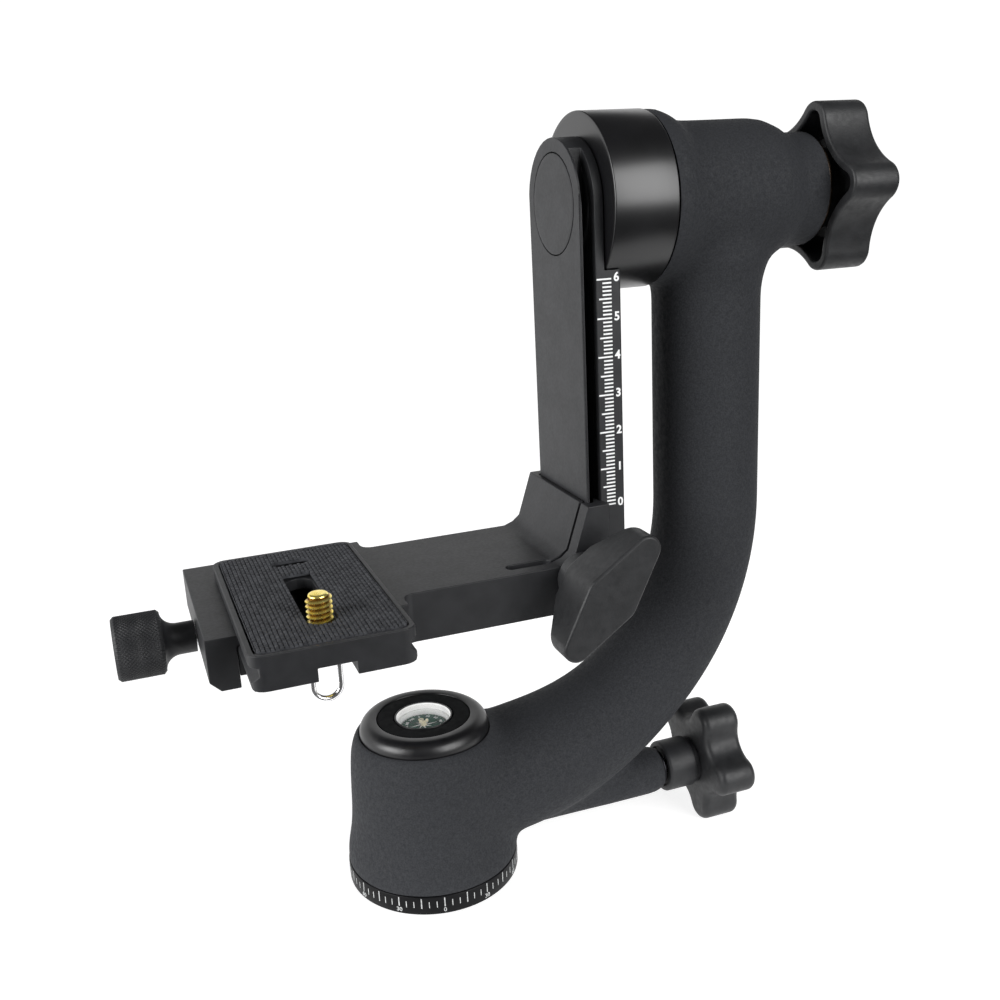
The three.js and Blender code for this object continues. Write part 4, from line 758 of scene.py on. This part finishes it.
for i, spot in enumerate(screwSpots):
    number = str(i + 1)
    finished(baseScrew(spot), "base_screw_head_" + number, "bright_steel", "base", ["base_screw_" + number])

bushForm = {"crest": 4.2, "bore": 4.75, "root": 4.8, "outer": 7, "low": 0.3, "high": 11.5, "edge": 0.3,
            "pitch": 1.5875, "threadLow": 1.9, "slotHalf": 0.8, "slotTop": 1.7}
bushSlot = box((-8, -bushForm["slotHalf"], -1), (8, bushForm["slotHalf"], bushForm["slotTop"]))
bushThread = thread(
    bushForm["crest"], bushForm["root"], bushForm["pitch"], bushForm["threadLow"], bushForm["high"], 32, True
)
bush = joined(carved(turned(sleeveLine(bushForm, 3), 72), [bushSlot]), bushThread)
finished(bush, "tripod_thread_bush", "turned_brass", "base", ["tripod_bush"])
print("base made")

# ---- cap ring, inlay and compass
capForm = {"inner": 12.2, "low": 37.5, "seat": 15.8, "step": 41.5, "outer": 18.4, "round": (3.2, 3.7),
           "roundAt": (15.2, 44.6), "lip": 0.25, "lipAt": (13.6, 48.05), "shelf": 44.5}
capLine = [
    (capForm["inner"], capForm["low"]), (capForm["seat"], capForm["low"]), (capForm["seat"], capForm["step"]),
    (capForm["outer"], capForm["step"]),
    *arcPoints(capForm["roundAt"], capForm["round"], 0, math.pi / 2, 14),
    *arcPoints(capForm["lipAt"], (capForm["lip"], capForm["lip"]), math.pi / 2, math.pi, 4),
    (capForm["lipAt"][0] - capForm["lip"], capForm["shelf"]), (capForm["inner"], capForm["shelf"]),
]
finished(turned(capLine, 144), "cap_ring", "gloss_black", "arm", ["column_cap"])
inlayForm = {"inner": 8.5, "outer": 13.2, "low": 44.5, "top": 48.1, "edge": 0.25}
inlayLine = roundCorners([
    (inlayForm["inner"], inlayForm["low"]), (inlayForm["outer"], inlayForm["low"]),
    (inlayForm["outer"], inlayForm["top"], inlayForm["edge"]),
    (inlayForm["inner"], inlayForm["top"], inlayForm["edge"]),
], 3)
finished(turned(inlayLine, 128), "cap_disc", "inlay_matt", "arm", ["cap_inlay"])

caseLine = roundCorners([
    (0, 39.6), (8.2, 39.6, 0.2), (8.2, 42.9), (9.6, 42.9), (9.6, 44.2), (8.2, 44.2), (8.2, 48.25, 0.2),
    (7.75, 48.25, 0.2), (7.5, 46.4), (6.9, 46.4), (6.7, 40.8), (0, 40.8),
], 3)
caseInside = {"radius": 7.74, "low": 41, "high": 48.1}
case = turned(caseLine, 96)
for face in case.faces:  # the inside of the case is white
    centre = face.calc_center_median()
    within = math.hypot(centre.x, centre.y) < caseInside["radius"]
    face.material_index = 1 if within and caseInside["low"] < centre.z < caseInside["high"] else 0
finished(case, "compass_case", ["gloss_black", "case_white"], "arm", ["compass_housing"])
lensForm = {"radius": 7.45, "low": 46.6, "edge": 47.5, "rise": 1.55}
lensLine = [
    (0, lensForm["low"]), (lensForm["radius"], lensForm["low"]), (lensForm["radius"], lensForm["edge"]),
    *arcPoints((0, lensForm["edge"]), (lensForm["radius"], lensForm["rise"]), 0.08, math.pi / 2 - 0.08, 14),
    (0, lensForm["edge"] + lensForm["rise"]),
]
finished(turned(lensLine, 96), "compass_glass", "lens_glass", "arm", ["compass_lens"], 60)

dialForm = {"radius": 6.3, "low": 43.6, "top": 45.2, "boss": 1.1, "bossLow": 43, "raise": 0.04, "sunk": 0.03,
            "numbers": 1.25, "numbersAt": 4.9, "tickHalf": 0.07, "ticks": (5.9, 5.75), "tickEnd": 6.2,
            "rose": (3.9, 2.6)}
cardLine = [
    (0, dialForm["bossLow"]), (dialForm["boss"], dialForm["bossLow"]), (dialForm["boss"], dialForm["low"]),
    (dialForm["radius"], dialForm["low"], 0.1), (dialForm["radius"], dialForm["top"], 0.1), (0, dialForm["top"]),
]
finished(turned(roundCorners(cardLine, 2), 72), "compass_card", "dial_green", "compass", ["compass_dial"])


def flatMark(bm, points, turn):
    mark = prism(points, dialForm["raise"] + dialForm["sunk"])
    addInto(bm, moved(mark, Matrix.Rotation(turn, 4, "Z"), shift(z=dialForm["top"] - dialForm["sunk"])))


def cardMarks():
    bm = bmesh.new()
    half, end = dialForm["tickHalf"], dialForm["tickEnd"]
    for i in range(36):
        start = dialForm["ticks"][i % 3 == 0]
        flatMark(bm, [(-half, start), (half, start), (half, end), (-half, end)], math.tau * i / 36)
    for i in range(8):  # half of each point of the rose is pale, the other half stays dark
        flatMark(bm, [(0, 0.9), (0.55, 1.1), (0, dialForm["rose"][i % 2])], math.tau * i / 8)
    middle = shift(0, dialForm["numbersAt"], dialForm["top"] + 0.02) @ Matrix.Diagonal((1, 1, 0.4, 1))
    for i in range(12):
        turn = Matrix.Rotation(-math.tau * i / 12, 4, "Z") @ middle
        addWords(bm, str(30 * i), dialForm["numbers"], lambda p, turn=turn: turn @ p, 0.015)
    return tidy(bm)


finished(cardMarks(), "compass_card_marks", "scale_paint", "compass")
hubForm = {"low": 45.15, "radius": 0.6, "foot": 1.0, "dot": 0.42, "spread": 0.95}
hubCap = turned(roundCorners([
    (0, hubForm["low"]), (hubForm["foot"], hubForm["low"]), (hubForm["radius"], 45.7, 0.3),
    (hubForm["radius"], 46.3, 0.3), (0, 46.4),
], 3), 40)
dots = [
    moved(turned(roundCorners([(0, 46), (hubForm["dot"], 46), (hubForm["dot"], 46.7, 0.2), (0, 46.75)], 3), 24),
          shift(way * hubForm["spread"]))
    for way in (-1, 1)
]
northRing = turned([(0.35, 0), (0.8, 0), (0.8, 0.16), (0.35, 0.16)], 32)
moved(northRing, shift(0, 3.1, dialForm["top"] - 0.02))
finished(joined(hubCap, *dots, northRing), "compass_card_hub", "dial_cream", "compass")
print("cap and compass made")

# ---- drum, rail, cover disc and the centimetre scale
drumForm = {"radius": 23.1, "front": 52.2, "back": 70.2, "edge": 0.35, "bolt": 4.3, "axle": 8.8, "floor": 53.7,
            "rim": 1.4}  # the rim keeps the flat faces flat beside their rounded edge
drumLine = roundCorners([
    (drumForm["bolt"], drumForm["front"]), (drumForm["radius"] - drumForm["rim"], drumForm["front"]),
    (drumForm["radius"], drumForm["front"], drumForm["edge"]),
    (drumForm["radius"], drumForm["back"], drumForm["edge"]),
    (drumForm["radius"] - drumForm["rim"], drumForm["back"]), (drumForm["axle"], drumForm["back"], 0.2),
    (drumForm["axle"], drumForm["floor"]), (drumForm["bolt"], drumForm["floor"]),
], 3)
finished(turnedAlongX(drumLine, 200, tiltHeight), "drum_body", "drum_black", "swing", ["tilt_drum"])

railForm = {"grooveFront": 45.95, "grooveBack": 49.4, "grooveSide": 9.5, "edge": 0.22}
grooves = [
    box((railForm["grooveFront"], low, 60), (railForm["grooveBack"], high, 215))
    for low, high in ((-20, -railForm["grooveSide"]), (railForm["grooveSide"], 20))
]
railBar = softened(carved(nodeCopy("rail"), grooves), railForm["edge"], 40, 2, clamp=False)
finished(railBar, "rail_bar", "blasted_grey", "swing", ["rail"], 50, True)
coverForm = {"front": 45.33, "back": 46.63, "radius": 12.9, "edge": 0.14}
coverLine = roundCorners([
    *[(radius, coverForm["front"]) for radius in (0, 4, 8.5, 11.8)],
    (coverForm["radius"], coverForm["front"], coverForm["edge"]), (coverForm["radius"], coverForm["back"]),
    (0, coverForm["back"]),
], 3)
cover = turnedAlongX(coverLine, 128, tiltHeight)
finished(cover, "rail_cover_disc", "blasted_grey", "swing", ["pivot_cover"])

centimetreScale = {"zero": 107.4, "right": 53.65, "long": 4.1, "half": 3.5, "short": 2.5, "width": 0.42,
                   "digits": 3.1, "digitsX": 55.1, "face": -16.75, "weight": 0.03, "proud": 0.05}


def centimetreMarks():
    bm = bmesh.new()
    face, right, proud = (centimetreScale[key] for key in ("face", "right", "proud"))
    half = centimetreScale["width"] / 2
    for i in range(61):
        reach = centimetreScale["long" if i % 10 == 0 else "half" if i % 5 == 0 else "short"]
        z = centimetreScale["zero"] + i
        addInto(bm, box((right - reach, face - proud, z - half), (right, face + proud, z + half)))
        if i % 10 == 0:
            addWords(
                bm, str(i // 10), centimetreScale["digits"],
                lambda p, z=z: Vector((centimetreScale["digitsX"] + p.x, face - p.z, z + 0.3 + p.y)),
                centimetreScale["weight"],
            )
    bmesh.ops.recalc_face_normals(bm, faces=bm.faces)
    return bm


finished(centimetreMarks(), "rail_scale", "scale_paint", "swing")
stopForm = {"height": 84.6, "socket": 57.4}
stopLine = roundCorners([(0, 51.75), (1.5, 51.75), (1.5, 56.75), (2.8, 56.75), (2.6, 58.35, 0.5), (0, 58.35)], 4)
stopSocket = moved(prism([(y, x) for x, y in hexKey], 2), shift(z=stopForm["socket"]))
finished(
    moved(carved(turned(stopLine, 48), [stopSocket]), toX, shift(z=stopForm["height"])), "stop_screw", "bright_steel",
    "swing", ["rail_stop_screw"],
)
print("swing made")

# ---- platform, jaw and plate: the solids' own faces with their edges rounded
for node, name, body in (("l_bracket", "platform_bracket", "platform"), ("clamp_jaw", "jaw_body", "jaw")):
    rounded = softened(nodeCopy(node), 0.25, 35, 2, clamp=False)
    finished(rounded, name, "blasted_grey", body, [node], 50, True)

padForm = {"x": -31.8, "y": -15.55, "across": 1.04, "along": 2.1, "groove": 0.3, "stretch": 2.5,
           "top": 97.38, "valley": 96.86, "low": 96, "crown": 0.12, "crownInset": 0.14, "rows": 37, "blocks": 90}
pinForm = {"length": 10.2, "width": 3.9, "x": -31.3, "y": 7.6, "low": 91, "high": 99, "under": 6.4}
slotEnd = {"half": 3.75, "from": -9, "to": -1.9}  # the pad's opening is square at its far end


def wafflePad():
    # rows of small blocks, every second row moved on by half a block
    countX, countY = padForm["rows"], padForm["blocks"]
    stretch = padForm["stretch"]  # the gaps across the rows are this much wider than those along them
    bm = bmesh.new()
    bmesh.ops.create_grid(bm, x_segments=countX, y_segments=countY, size=0.5)
    spanX, spanY = countX * padForm["across"], countY * padForm["along"] / 2 / stretch
    moved(bm, Matrix.Diagonal((spanX, spanY, 1, 1)), shift(z=padForm["valley"]))
    between = []
    for edge in bm.edges:
        a, b = (v.co for v in edge.verts)
        if abs(a.x - b.x) < 0.1 or edge.is_boundary:
            continue
        column = round(((a.x + b.x) / 2 + spanX / 2) / padForm["across"] - 0.5)
        row = round((a.y + spanY / 2) / spanY * countY)
        if (row + column) % 2:
            between.append(edge)
    bmesh.ops.dissolve_edges(bm, edges=between, use_verts=False)
    tops = bm.faces[:]
    height = padForm["top"] - padForm["valley"] - padForm["crown"]
    bmesh.ops.inset_individual(bm, faces=tops, thickness=padForm["groove"] / 2, depth=height)
    bmesh.ops.inset_individual(bm, faces=tops, thickness=padForm["crownInset"], depth=padForm["crown"])
    rim = [e for e in bm.edges if e.is_boundary]
    low = bmesh.ops.extrude_edge_only(bm, edges=rim)["geom"]
    for vert in [v for v in low if isinstance(v, bmesh.types.BMVert)]:
        vert.co.z = padForm["low"]
    bmesh.ops.holes_fill(bm, edges=[e for e in bm.edges if e.is_boundary])
    bmesh.ops.recalc_face_normals(bm, faces=bm.faces)
    moved(bm, Matrix.Diagonal((1, stretch, 1, 1)), shift(padForm["x"], padForm["y"]))
    bm = carved(bm, [nodeCopy("plate_pad")], "INTERSECT")
    left, right = padForm["x"] - slotEnd["half"], padForm["x"] + slotEnd["half"]
    opening = box((left, slotEnd["from"], pinForm["low"]), (right, slotEnd["to"], pinForm["high"]))
    return carved(bm, [pinCutter(pinForm["width"], pinForm["high"]), opening])


def pinCutter(width, high):
    half, radius = pinForm["length"] / 2, width / 2
    outline = [(x, y, radius * 0.99) for x, y in ((-half, -radius), (half, -radius), (half, radius), (-half, radius))]
    cutter = prism(roundCorners(outline, 10), high - pinForm["low"])
    return moved(cutter, shift(pinForm["x"], pinForm["y"], pinForm["low"]))


plateBody = softened(nodeCopy("qr_plate"), 0.22, 35, 2, clamp=False)
plateBody = carved(plateBody, [pinCutter(pinForm["under"], padForm["low"])])  # the slot is wider under the pad
finished(plateBody, "plate_body", "blasted_grey", "plate", ["qr_plate"], 50, True)
finished(wafflePad(), "pad_waffle", "pad_rubber", "plate", ["plate_pad"], 25)
print("platform made")

# ---- camera screw with its ring
screwLine = roundCorners([
    (0, screwForm["discLow"]), (screwForm["disc"], screwForm["discLow"], 0.3),
    (screwForm["disc"], screwForm["discTop"], 0.3), (screwForm["root"], screwForm["discTop"]),
    (screwForm["root"], screwForm["top"], 0.7), (0, screwForm["top"]),
], 4)
lug = softened(box((-2.4, -1.9, screwForm["lugLow"]), (2.4, 1.9, screwForm["discLow"] + 0.4)), 0.3)
pinHole = turnedAlongX([(0, -4), (0.9, -4), (0.9, 4), (0, 4)], 24, screwForm["pivot"])
screw = joined(
    turned(screwLine, 64),
    thread(screwForm["radius"], screwForm["root"], screwForm["pitch"], 92.2, screwForm["top"] - 0.2, 36),
    carved(lug, [pinHole]),
)
moved(screw, shift(screwForm["x"], screwForm["y"]))
finished(screw, "camera_screw_gilt", "gilt_brass", "screw", ["camera_screw"])

ringForm = {"wire": 0.75, "half": 3.4, "length": 10.6, "pin": 1.0}


def ringWire():
    half, low = ringForm["half"], -ringForm["length"]
    turnIn = roundCorners([(-ringForm["pin"], 0), (-half, 0, 1.2), (-half, low)], 6)[:-1]
    left = [(p.x, p.y) for p in turnIn]
    bow = arcPoints((0, low), (-half, -half), 0, math.pi, 25)
    line = left + bow + [(-x, z) for x, z in reversed(left)]
    bm = bmesh.new()
    edges = []
    for i, point in enumerate(line):
        back, ahead = Vector(line[max(i - 1, 0)]), Vector(line[min(i + 1, len(line) - 1)])
        way = (ahead - back).normalized()
        side = Vector((way.y, 0, -way.x))
        along = Vector((way.x, 0, way.y))
        fit = Matrix((side, Vector((0, 1, 0)), along)).transposed().to_4x4()
        fit.translation = Vector((point[0], 0, point[1]))
        ring = bmesh.ops.create_circle(bm, segments=20, radius=ringForm["wire"], matrix=fit)["verts"]
        loop = list({e for v in ring for e in v.link_edges})
        if edges:
            bmesh.ops.bridge_loops(bm, edges=edges + loop)
        edges = loop
    bmesh.ops.holes_fill(bm, edges=bm.edges)
    bmesh.ops.recalc_face_normals(bm, faces=bm.faces)
    return moved(bm, shift(screwForm["x"], screwForm["y"], screwForm["pivot"]))


finished(ringWire(), "ring_wire", "ring_chrome", "ring", ["screw_ring"])
slotWasher = {"bore": 3.5, "outer": 6, "low": 92.1, "high": 92.7, "edge": 0.15}
washer = moved(turned(sleeveLine(slotWasher), 48), shift(screwForm["x"], screwForm["y"]))
finished(washer, "screw_washer", "white_nylon", "screw_carrier", ["slot_washer"])
print("camera screw made")

# ---- knobs
# the size of a star is the reach of its lobes, their radius and the reach of its hollows
tiltStar = {"size": (23.8, 5.4, 17.7), "turn": 3.06, "start": 122.2, "end": 137.4, "wall": 2.6, "floor": 134,
            "edge": 1.7, "lip": 0.8, "dish": (3.2, 3.6, 0.4)}
rim, middle, sunk = tiltStar["dish"]
tiltStations = roundCorners([
    (tiltStar["floor"], tiltStar["wall"], 0.6), (tiltStar["start"], tiltStar["wall"], tiltStar["lip"]),
    (tiltStar["start"], 0, tiltStar["lip"]), (tiltStar["end"], 0, tiltStar["edge"]), (tiltStar["end"], rim),
    (tiltStar["end"] - sunk, middle),
], 5)
star = moved(starSolid(tiltStations, tiltStar["size"], tiltStar["turn"], 260), shift(z=tiltHeight))
finished(star, "tilt_knob_star", "knob_plastic", "tilt_lock", ["tilt_knob"], 40)
tiltHub = {"bore": 5.3, "outer": 11, "low": 122.3, "high": 134.2, "edge": 0.5, "seat": 7, "seatLow": 121.8,
           "seatDepth": 9}
hubLine = roundCorners([
    (tiltHub["bore"], tiltHub["low"]), (tiltHub["outer"], tiltHub["low"], tiltHub["edge"]),
    (tiltHub["outer"], tiltHub["high"]), (tiltHub["bore"], tiltHub["high"]),
], 3)
hubSeat = prism([(tiltHub["seat"] * y, tiltHub["seat"] * x) for x, y in hexKey], tiltHub["seatDepth"])
moved(hubSeat, toX, shift(tiltHub["seatLow"]))
hub = moved(carved(turnedAlongX(hubLine, 64), [hubSeat]), shift(z=tiltHeight))
finished(hub, "tilt_knob_hub", "knob_plastic", "tilt_lock")

panStar = {"size": (19.5, 5.2, 13.2), "turn": math.pi, "start": 86.1, "end": 98.5, "edge": 2.2}
panStations = roundCorners([
    (panStar["start"], 4), (panStar["start"], 0, panStar["edge"]), (panStar["end"], 0, panStar["edge"]),
    (panStar["end"], 4),
], 6)
star = moved(starSolid(panStations, panStar["size"], panStar["turn"], 240), shift(z=arm["bossHeight"]))
finished(star, "pan_knob_star", "knob_plastic", "pan_lock", ["pan_knob"], 40)
panHubLine = roundCorners([
    (3.3, 76.3), (6.2, 76.3, 0.2), (6.2, 75.2, 0.2), (7.8, 75.2, 0.8), (7.8, 84.2, 0.3), (7.2, 84.4, 0.3),
    (7.2, 85.8), (3.3, 85.8),
], 4)
sleeve = turnedAlongX(panHubLine, 80, arm["bossHeight"])
finished(sleeve, "pan_hub_sleeve", "blasted_grey", "pan_lock", ["pan_knob_hub"])
panScrewForm = {"radius": 3, "root": 2.55, "pitch": 1, "low": 14.9, "high": 93.1, "threadLow": 15.2, "threadHigh": 86}
root, low, high = (panScrewForm[key] for key in ("root", "low", "high"))
panScrew = joined(
    turned(roundCorners([(0, low), (root, low), (root, high, 0.4), (0, high)], 2), 40),
    thread(panScrewForm["radius"], root, panScrewForm["pitch"], panScrewForm["threadLow"],
           panScrewForm["threadHigh"], 24),
)
moved(panScrew, toX, shift(z=arm["bossHeight"]))
finished(panScrew, "pan_screw_threaded", "bright_steel", "pan_lock", ["pan_lock_screw"])
lockWasher = {"bore": 3.3, "outer": 5.8, "low": 74.1, "high": 74.9, "edge": 0.2}
washer = turnedAlongX(sleeveLine(lockWasher), 56, arm["bossHeight"])
# the washer is made near-black as painted shade for the recess between the boss and the hub
finished(washer, "pan_lock_ring", "black_oxide", "arm", ["pan_lock_washer"])
tiltWasher = {"bore": 5.3, "outer": 14.9, "low": 120.9, "high": 121.9, "edge": 0.2}
washer = turnedAlongX(sleeveLine(tiltWasher), 72, tiltHeight)
finished(washer, "tilt_thrust_washer", "plain_bronze", "tilt_lock_washer", ["tilt_washer"])

knurl = {"radius": 8.34, "low": -78.7, "high": -66.8, "neck": 4.1, "neckEnd": -58.7, "around": 52, "depth": 0.22,
         "pitch": 1.0, "axis": 84.4, "bevel": 0.75, "hole": 2.8, "holeFloor": -71.4, "steep": 3.2}


def knurledKnob():
    low, high, radius, neck, bevel = (knurl[key] for key in ("low", "high", "radius", "neck", "bevel"))
    knurled = [(radius, a) for a in np.linspace(low + bevel, high - bevel, 61)]
    # a hollow quarter round leads from the knurl to the neck
    flare = arcPoints((-63, radius - 0.8), (-3.8, -(radius - 0.8 - neck)), 0, math.pi / 2, 10)
    line = [(0, low + 0.6), (4.3, low + 0.6), (4.9, low), (radius - bevel, low), *knurled, (radius - bevel, high),
            *[(r, a) for a, r in flare], (neck, knurl["neckEnd"]), (knurl["hole"], knurl["neckEnd"]),
            (knurl["hole"], knurl["holeFloor"]), (0, knurl["holeFloor"])]
    bm = turned(line, knurl["around"] * 6)
    for vert in bm.verts:
        r = math.hypot(vert.co.x, vert.co.y)
        if r < radius - 0.01:
            continue
        around = math.atan2(vert.co.y, vert.co.x) / math.tau * knurl["around"]
        along = (vert.co.z - low) / knurl["pitch"]
        slopes = [(around + way * along) % 1 for way in (-1, 1)]
        nearestGroove = min(min(slope, 1 - slope) for slope in slopes)
        sink = knurl["depth"] * (1 - min(1, knurl["steep"] * nearestGroove))
        vert.co.x *= (r - sink) / r
        vert.co.y *= (r - sink) / r
    return moved(bm, toX, shift(z=knurl["axis"]))


finished(knurledKnob(), "clamp_knob_knurled", "blasted_grey", "clamp_lock", ["clamp_knob"], 30)

wingForm = {"x": 41, "z": 90, "near": -40.5, "back": -25.2, "tipBack": -33.3, "tip": 3.8, "side": 6,
            "halfLength": 19.1, "halfWidth": 7.7, "beyond": 20.5, "edge": 0.8, "angle": 0.856, "collar": 7,
            "collarStart": -26, "collarEnd": -20.9}


def wing():
    tip, side = wingForm["halfLength"] - wingForm["tip"], wingForm["halfWidth"] - wingForm["side"]
    bm = bmesh.new()
    for x, y, radius in ((tip, 0, wingForm["tip"]), (-tip, 0, wingForm["tip"]), (0, side, wingForm["side"]),
                         (0, -side, wingForm["side"])):
        bmesh.ops.create_circle(bm, segments=72, radius=radius, matrix=shift(x, y))
    bmesh.ops.convex_hull(bm, input=bm.verts[:])
    keep = {v for f in bm.faces for v in f.verts}
    bmesh.ops.delete(bm, geom=[v for v in bm.verts if v not in keep], context="VERTS")
    outline = sorted(((v.co.x, v.co.y) for v in bm.verts), key=lambda p: math.atan2(p[1], p[0]))
    bm.free()
    depth = wingForm["back"] - wingForm["near"]
    slab = softened(prism(outline, depth), wingForm["edge"], 60, 4)
    # the slab's Z becomes the object's Y
    moved(slab, Matrix.Rotation(math.pi / 2, 4, "X"), shift(y=wingForm["back"]))
    # the back slopes away from the collar to both tips
    radius, back, beyond = (wingForm[key] for key in ("collar", "back", "beyond"))
    shelves = []
    for way in (-1, 1):
        corners = [(way * radius, back), (way * beyond, wingForm["tipBack"]), (way * beyond, back + 1),
                   (way * radius, back + 1)]
        shelves.append(moved(prism(corners, 22), shift(z=-11)))
    start, end = wingForm["collarStart"], wingForm["collarEnd"]
    collar = moved(turned(roundCorners([(0, start), (radius, start), (radius, end, 0.4), (0, end)], 3), 64), toY)
    return moved(
        joined(carved(slab, shelves), collar), Matrix.Rotation(-wingForm["angle"], 4, "Y"),
        shift(wingForm["x"], 0, wingForm["z"]),
    )


finished(wing(), "wing_handle", "knob_plastic", "wing_lock", ["wing_knob"], 50, True)
print("knobs made")

# ---- finishes of the solids that show as they are
plainFinishes = {
    "steel": ("bright_steel", ["pan_spindle", "pan_spring_washer", "pan_nut", "tilt_outer_race_front",
                               "tilt_outer_race_rear", "tilt_inner_race_front", "tilt_inner_race_rear",
                               "tilt_ball_row_front", "tilt_ball_row_rear", "axle_bolt", "tilt_axle", "rail_dowel_1",
                               "rail_dowel_2", "jaw_guide_pin_1", "jaw_guide_pin_2", "clamp_screw", "wing_stud"]),
    "brass": ("turned_brass", ["pan_lock_pad", "compass_pivot", "tilt_knob_nut"]),
    "bronze": ("plain_bronze", ["pan_bush_lower", "pan_bush_upper"]),
    "nylon": ("white_nylon", ["pan_washer"]),
}
for slotName, (finish, names) in plainFinishes.items():
    for name in names:
        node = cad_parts[name]
        node.data.materials.clear()
        node.data.materials.append(surfaces[finish])
print("solids finished")

# ---- floor, light and camera
# in metres and degrees; the floor leans because the head rests on its base's edge and on the pan knob
floorForm = {"width": 0.66, "depth": 0.65, "front": 0.1, "turn": -19.7, "lean": 2.7, "touch": (-0.0247, 0, -0.0002)}
floorMesh = bmesh.new()
bmesh.ops.create_grid(floorMesh, x_segments=1, y_segments=1, size=0.5)
moved(
    floorMesh, Matrix.Diagonal((floorForm["width"], floorForm["depth"], 1, 1)),
    shift(y=floorForm["depth"] / 2 - floorForm["front"]), Matrix.Rotation(math.radians(floorForm["turn"]), 4, "Z"),
    Matrix.Rotation(math.radians(floorForm["lean"]), 4, "Y"), shift(*floorForm["touch"]),
)
floorData = bpy.data.meshes.new("floor")
floorMesh.to_mesh(floorData)
floorMesh.free()
floorData.materials.append(surfaces["floor_pale"])
floor = bpy.data.objects.new("floor", floorData)
scene.collection.objects.link(floor)

# a white backdrop glows behind the object and fades to dark above and in front of it
room = {"backdrop": 1.08, "dark": 0.09, "towards": (-0.25, 0.97, 0), "sides": (-0.15, 0.3), "top": (0.6, 0.45)}
world = bpy.data.worlds.new("white_room")
world.use_nodes = True
way = addNode(world, "TexCoord").outputs["Generated"]
facing = addNode(world, "VectorMath", {"operation": "DOT_PRODUCT"})
link(world, way, facing.inputs[0])
facing.inputs[1].default_value = room["towards"]
split = addNode(world, "SeparateXYZ")
link(world, way, split.inputs[0])
behind = ranged(world, facing.outputs["Value"], 0, 1, *room["sides"])
under = ranged(world, split.outputs["Z"], 0, 1, *room["top"])
glow = ranged(world, reckoned(world, "MULTIPLY", behind, under), room["dark"], room["backdrop"], 0, 1)
direct = addNode(world, "LightPath").outputs["Is Camera Ray"]  # seen directly it is white all round
background = world.node_tree.nodes["Background"]
link(world, reckoned(world, "MAXIMUM", glow, direct), background.inputs["Strength"])
background.inputs["Color"].default_value = (1, 1, 1, 1)
scene.world = world

softBoxes = {  # name: place, aim, width and height in metres, power in watts
    "front_right": ((0.64, -1.1, 0.58), (0.04, 0, 0.14), (0.9, 1.0), 19),
    "left_high": ((-1.25, -0.3, 0.5), (0.02, 0, 0.08), (0.95, 0.75), 21),
}
for name, (where, aim, (width, height), power) in softBoxes.items():
    data = bpy.data.lights.new(name, "AREA")
    data.shape = "RECTANGLE"
    data.size = width
    data.size_y = height
    data.energy = power
    lamp = bpy.data.objects.new(name, data)
    lamp.location = where
    lamp.rotation_euler = (Vector(aim) - Vector(where)).to_track_quat("-Z", "Y").to_euler()
    scene.collection.objects.link(lamp)

view = {"place": (-0.07235, -0.27625, 0.19554), "yaw": 19.68, "pitch": 16.61, "roll": -2.94, "focal": 1107.5}
yaw, pitch, roll = (math.radians(view[key]) for key in ("yaw", "pitch", "roll"))
forward = Vector((math.sin(yaw) * math.cos(pitch), math.cos(yaw) * math.cos(pitch), -math.sin(pitch)))
right = forward.cross(Vector((0, 0, 1))).normalized()
up = right.cross(forward)
rightRolled = right * math.cos(roll) + up * math.sin(roll)
upRolled = up * math.cos(roll) - right * math.sin(roll)
cameraData = bpy.data.cameras.new("camera")
cameraData.sensor_width = 36
cameraData.lens = 36 * view["focal"] / 1000
cameraData.clip_start = 0.01
camera = bpy.data.objects.new("camera", cameraData)
pose = Matrix((rightRolled, upRolled, -forward)).transposed().to_4x4()
pose.translation = Vector(view["place"])
camera.matrix_world = pose
scene.collection.objects.link(camera)
scene.camera = camera
scene.view_settings.view_transform = "Standard"
print("floor, light and camera set")
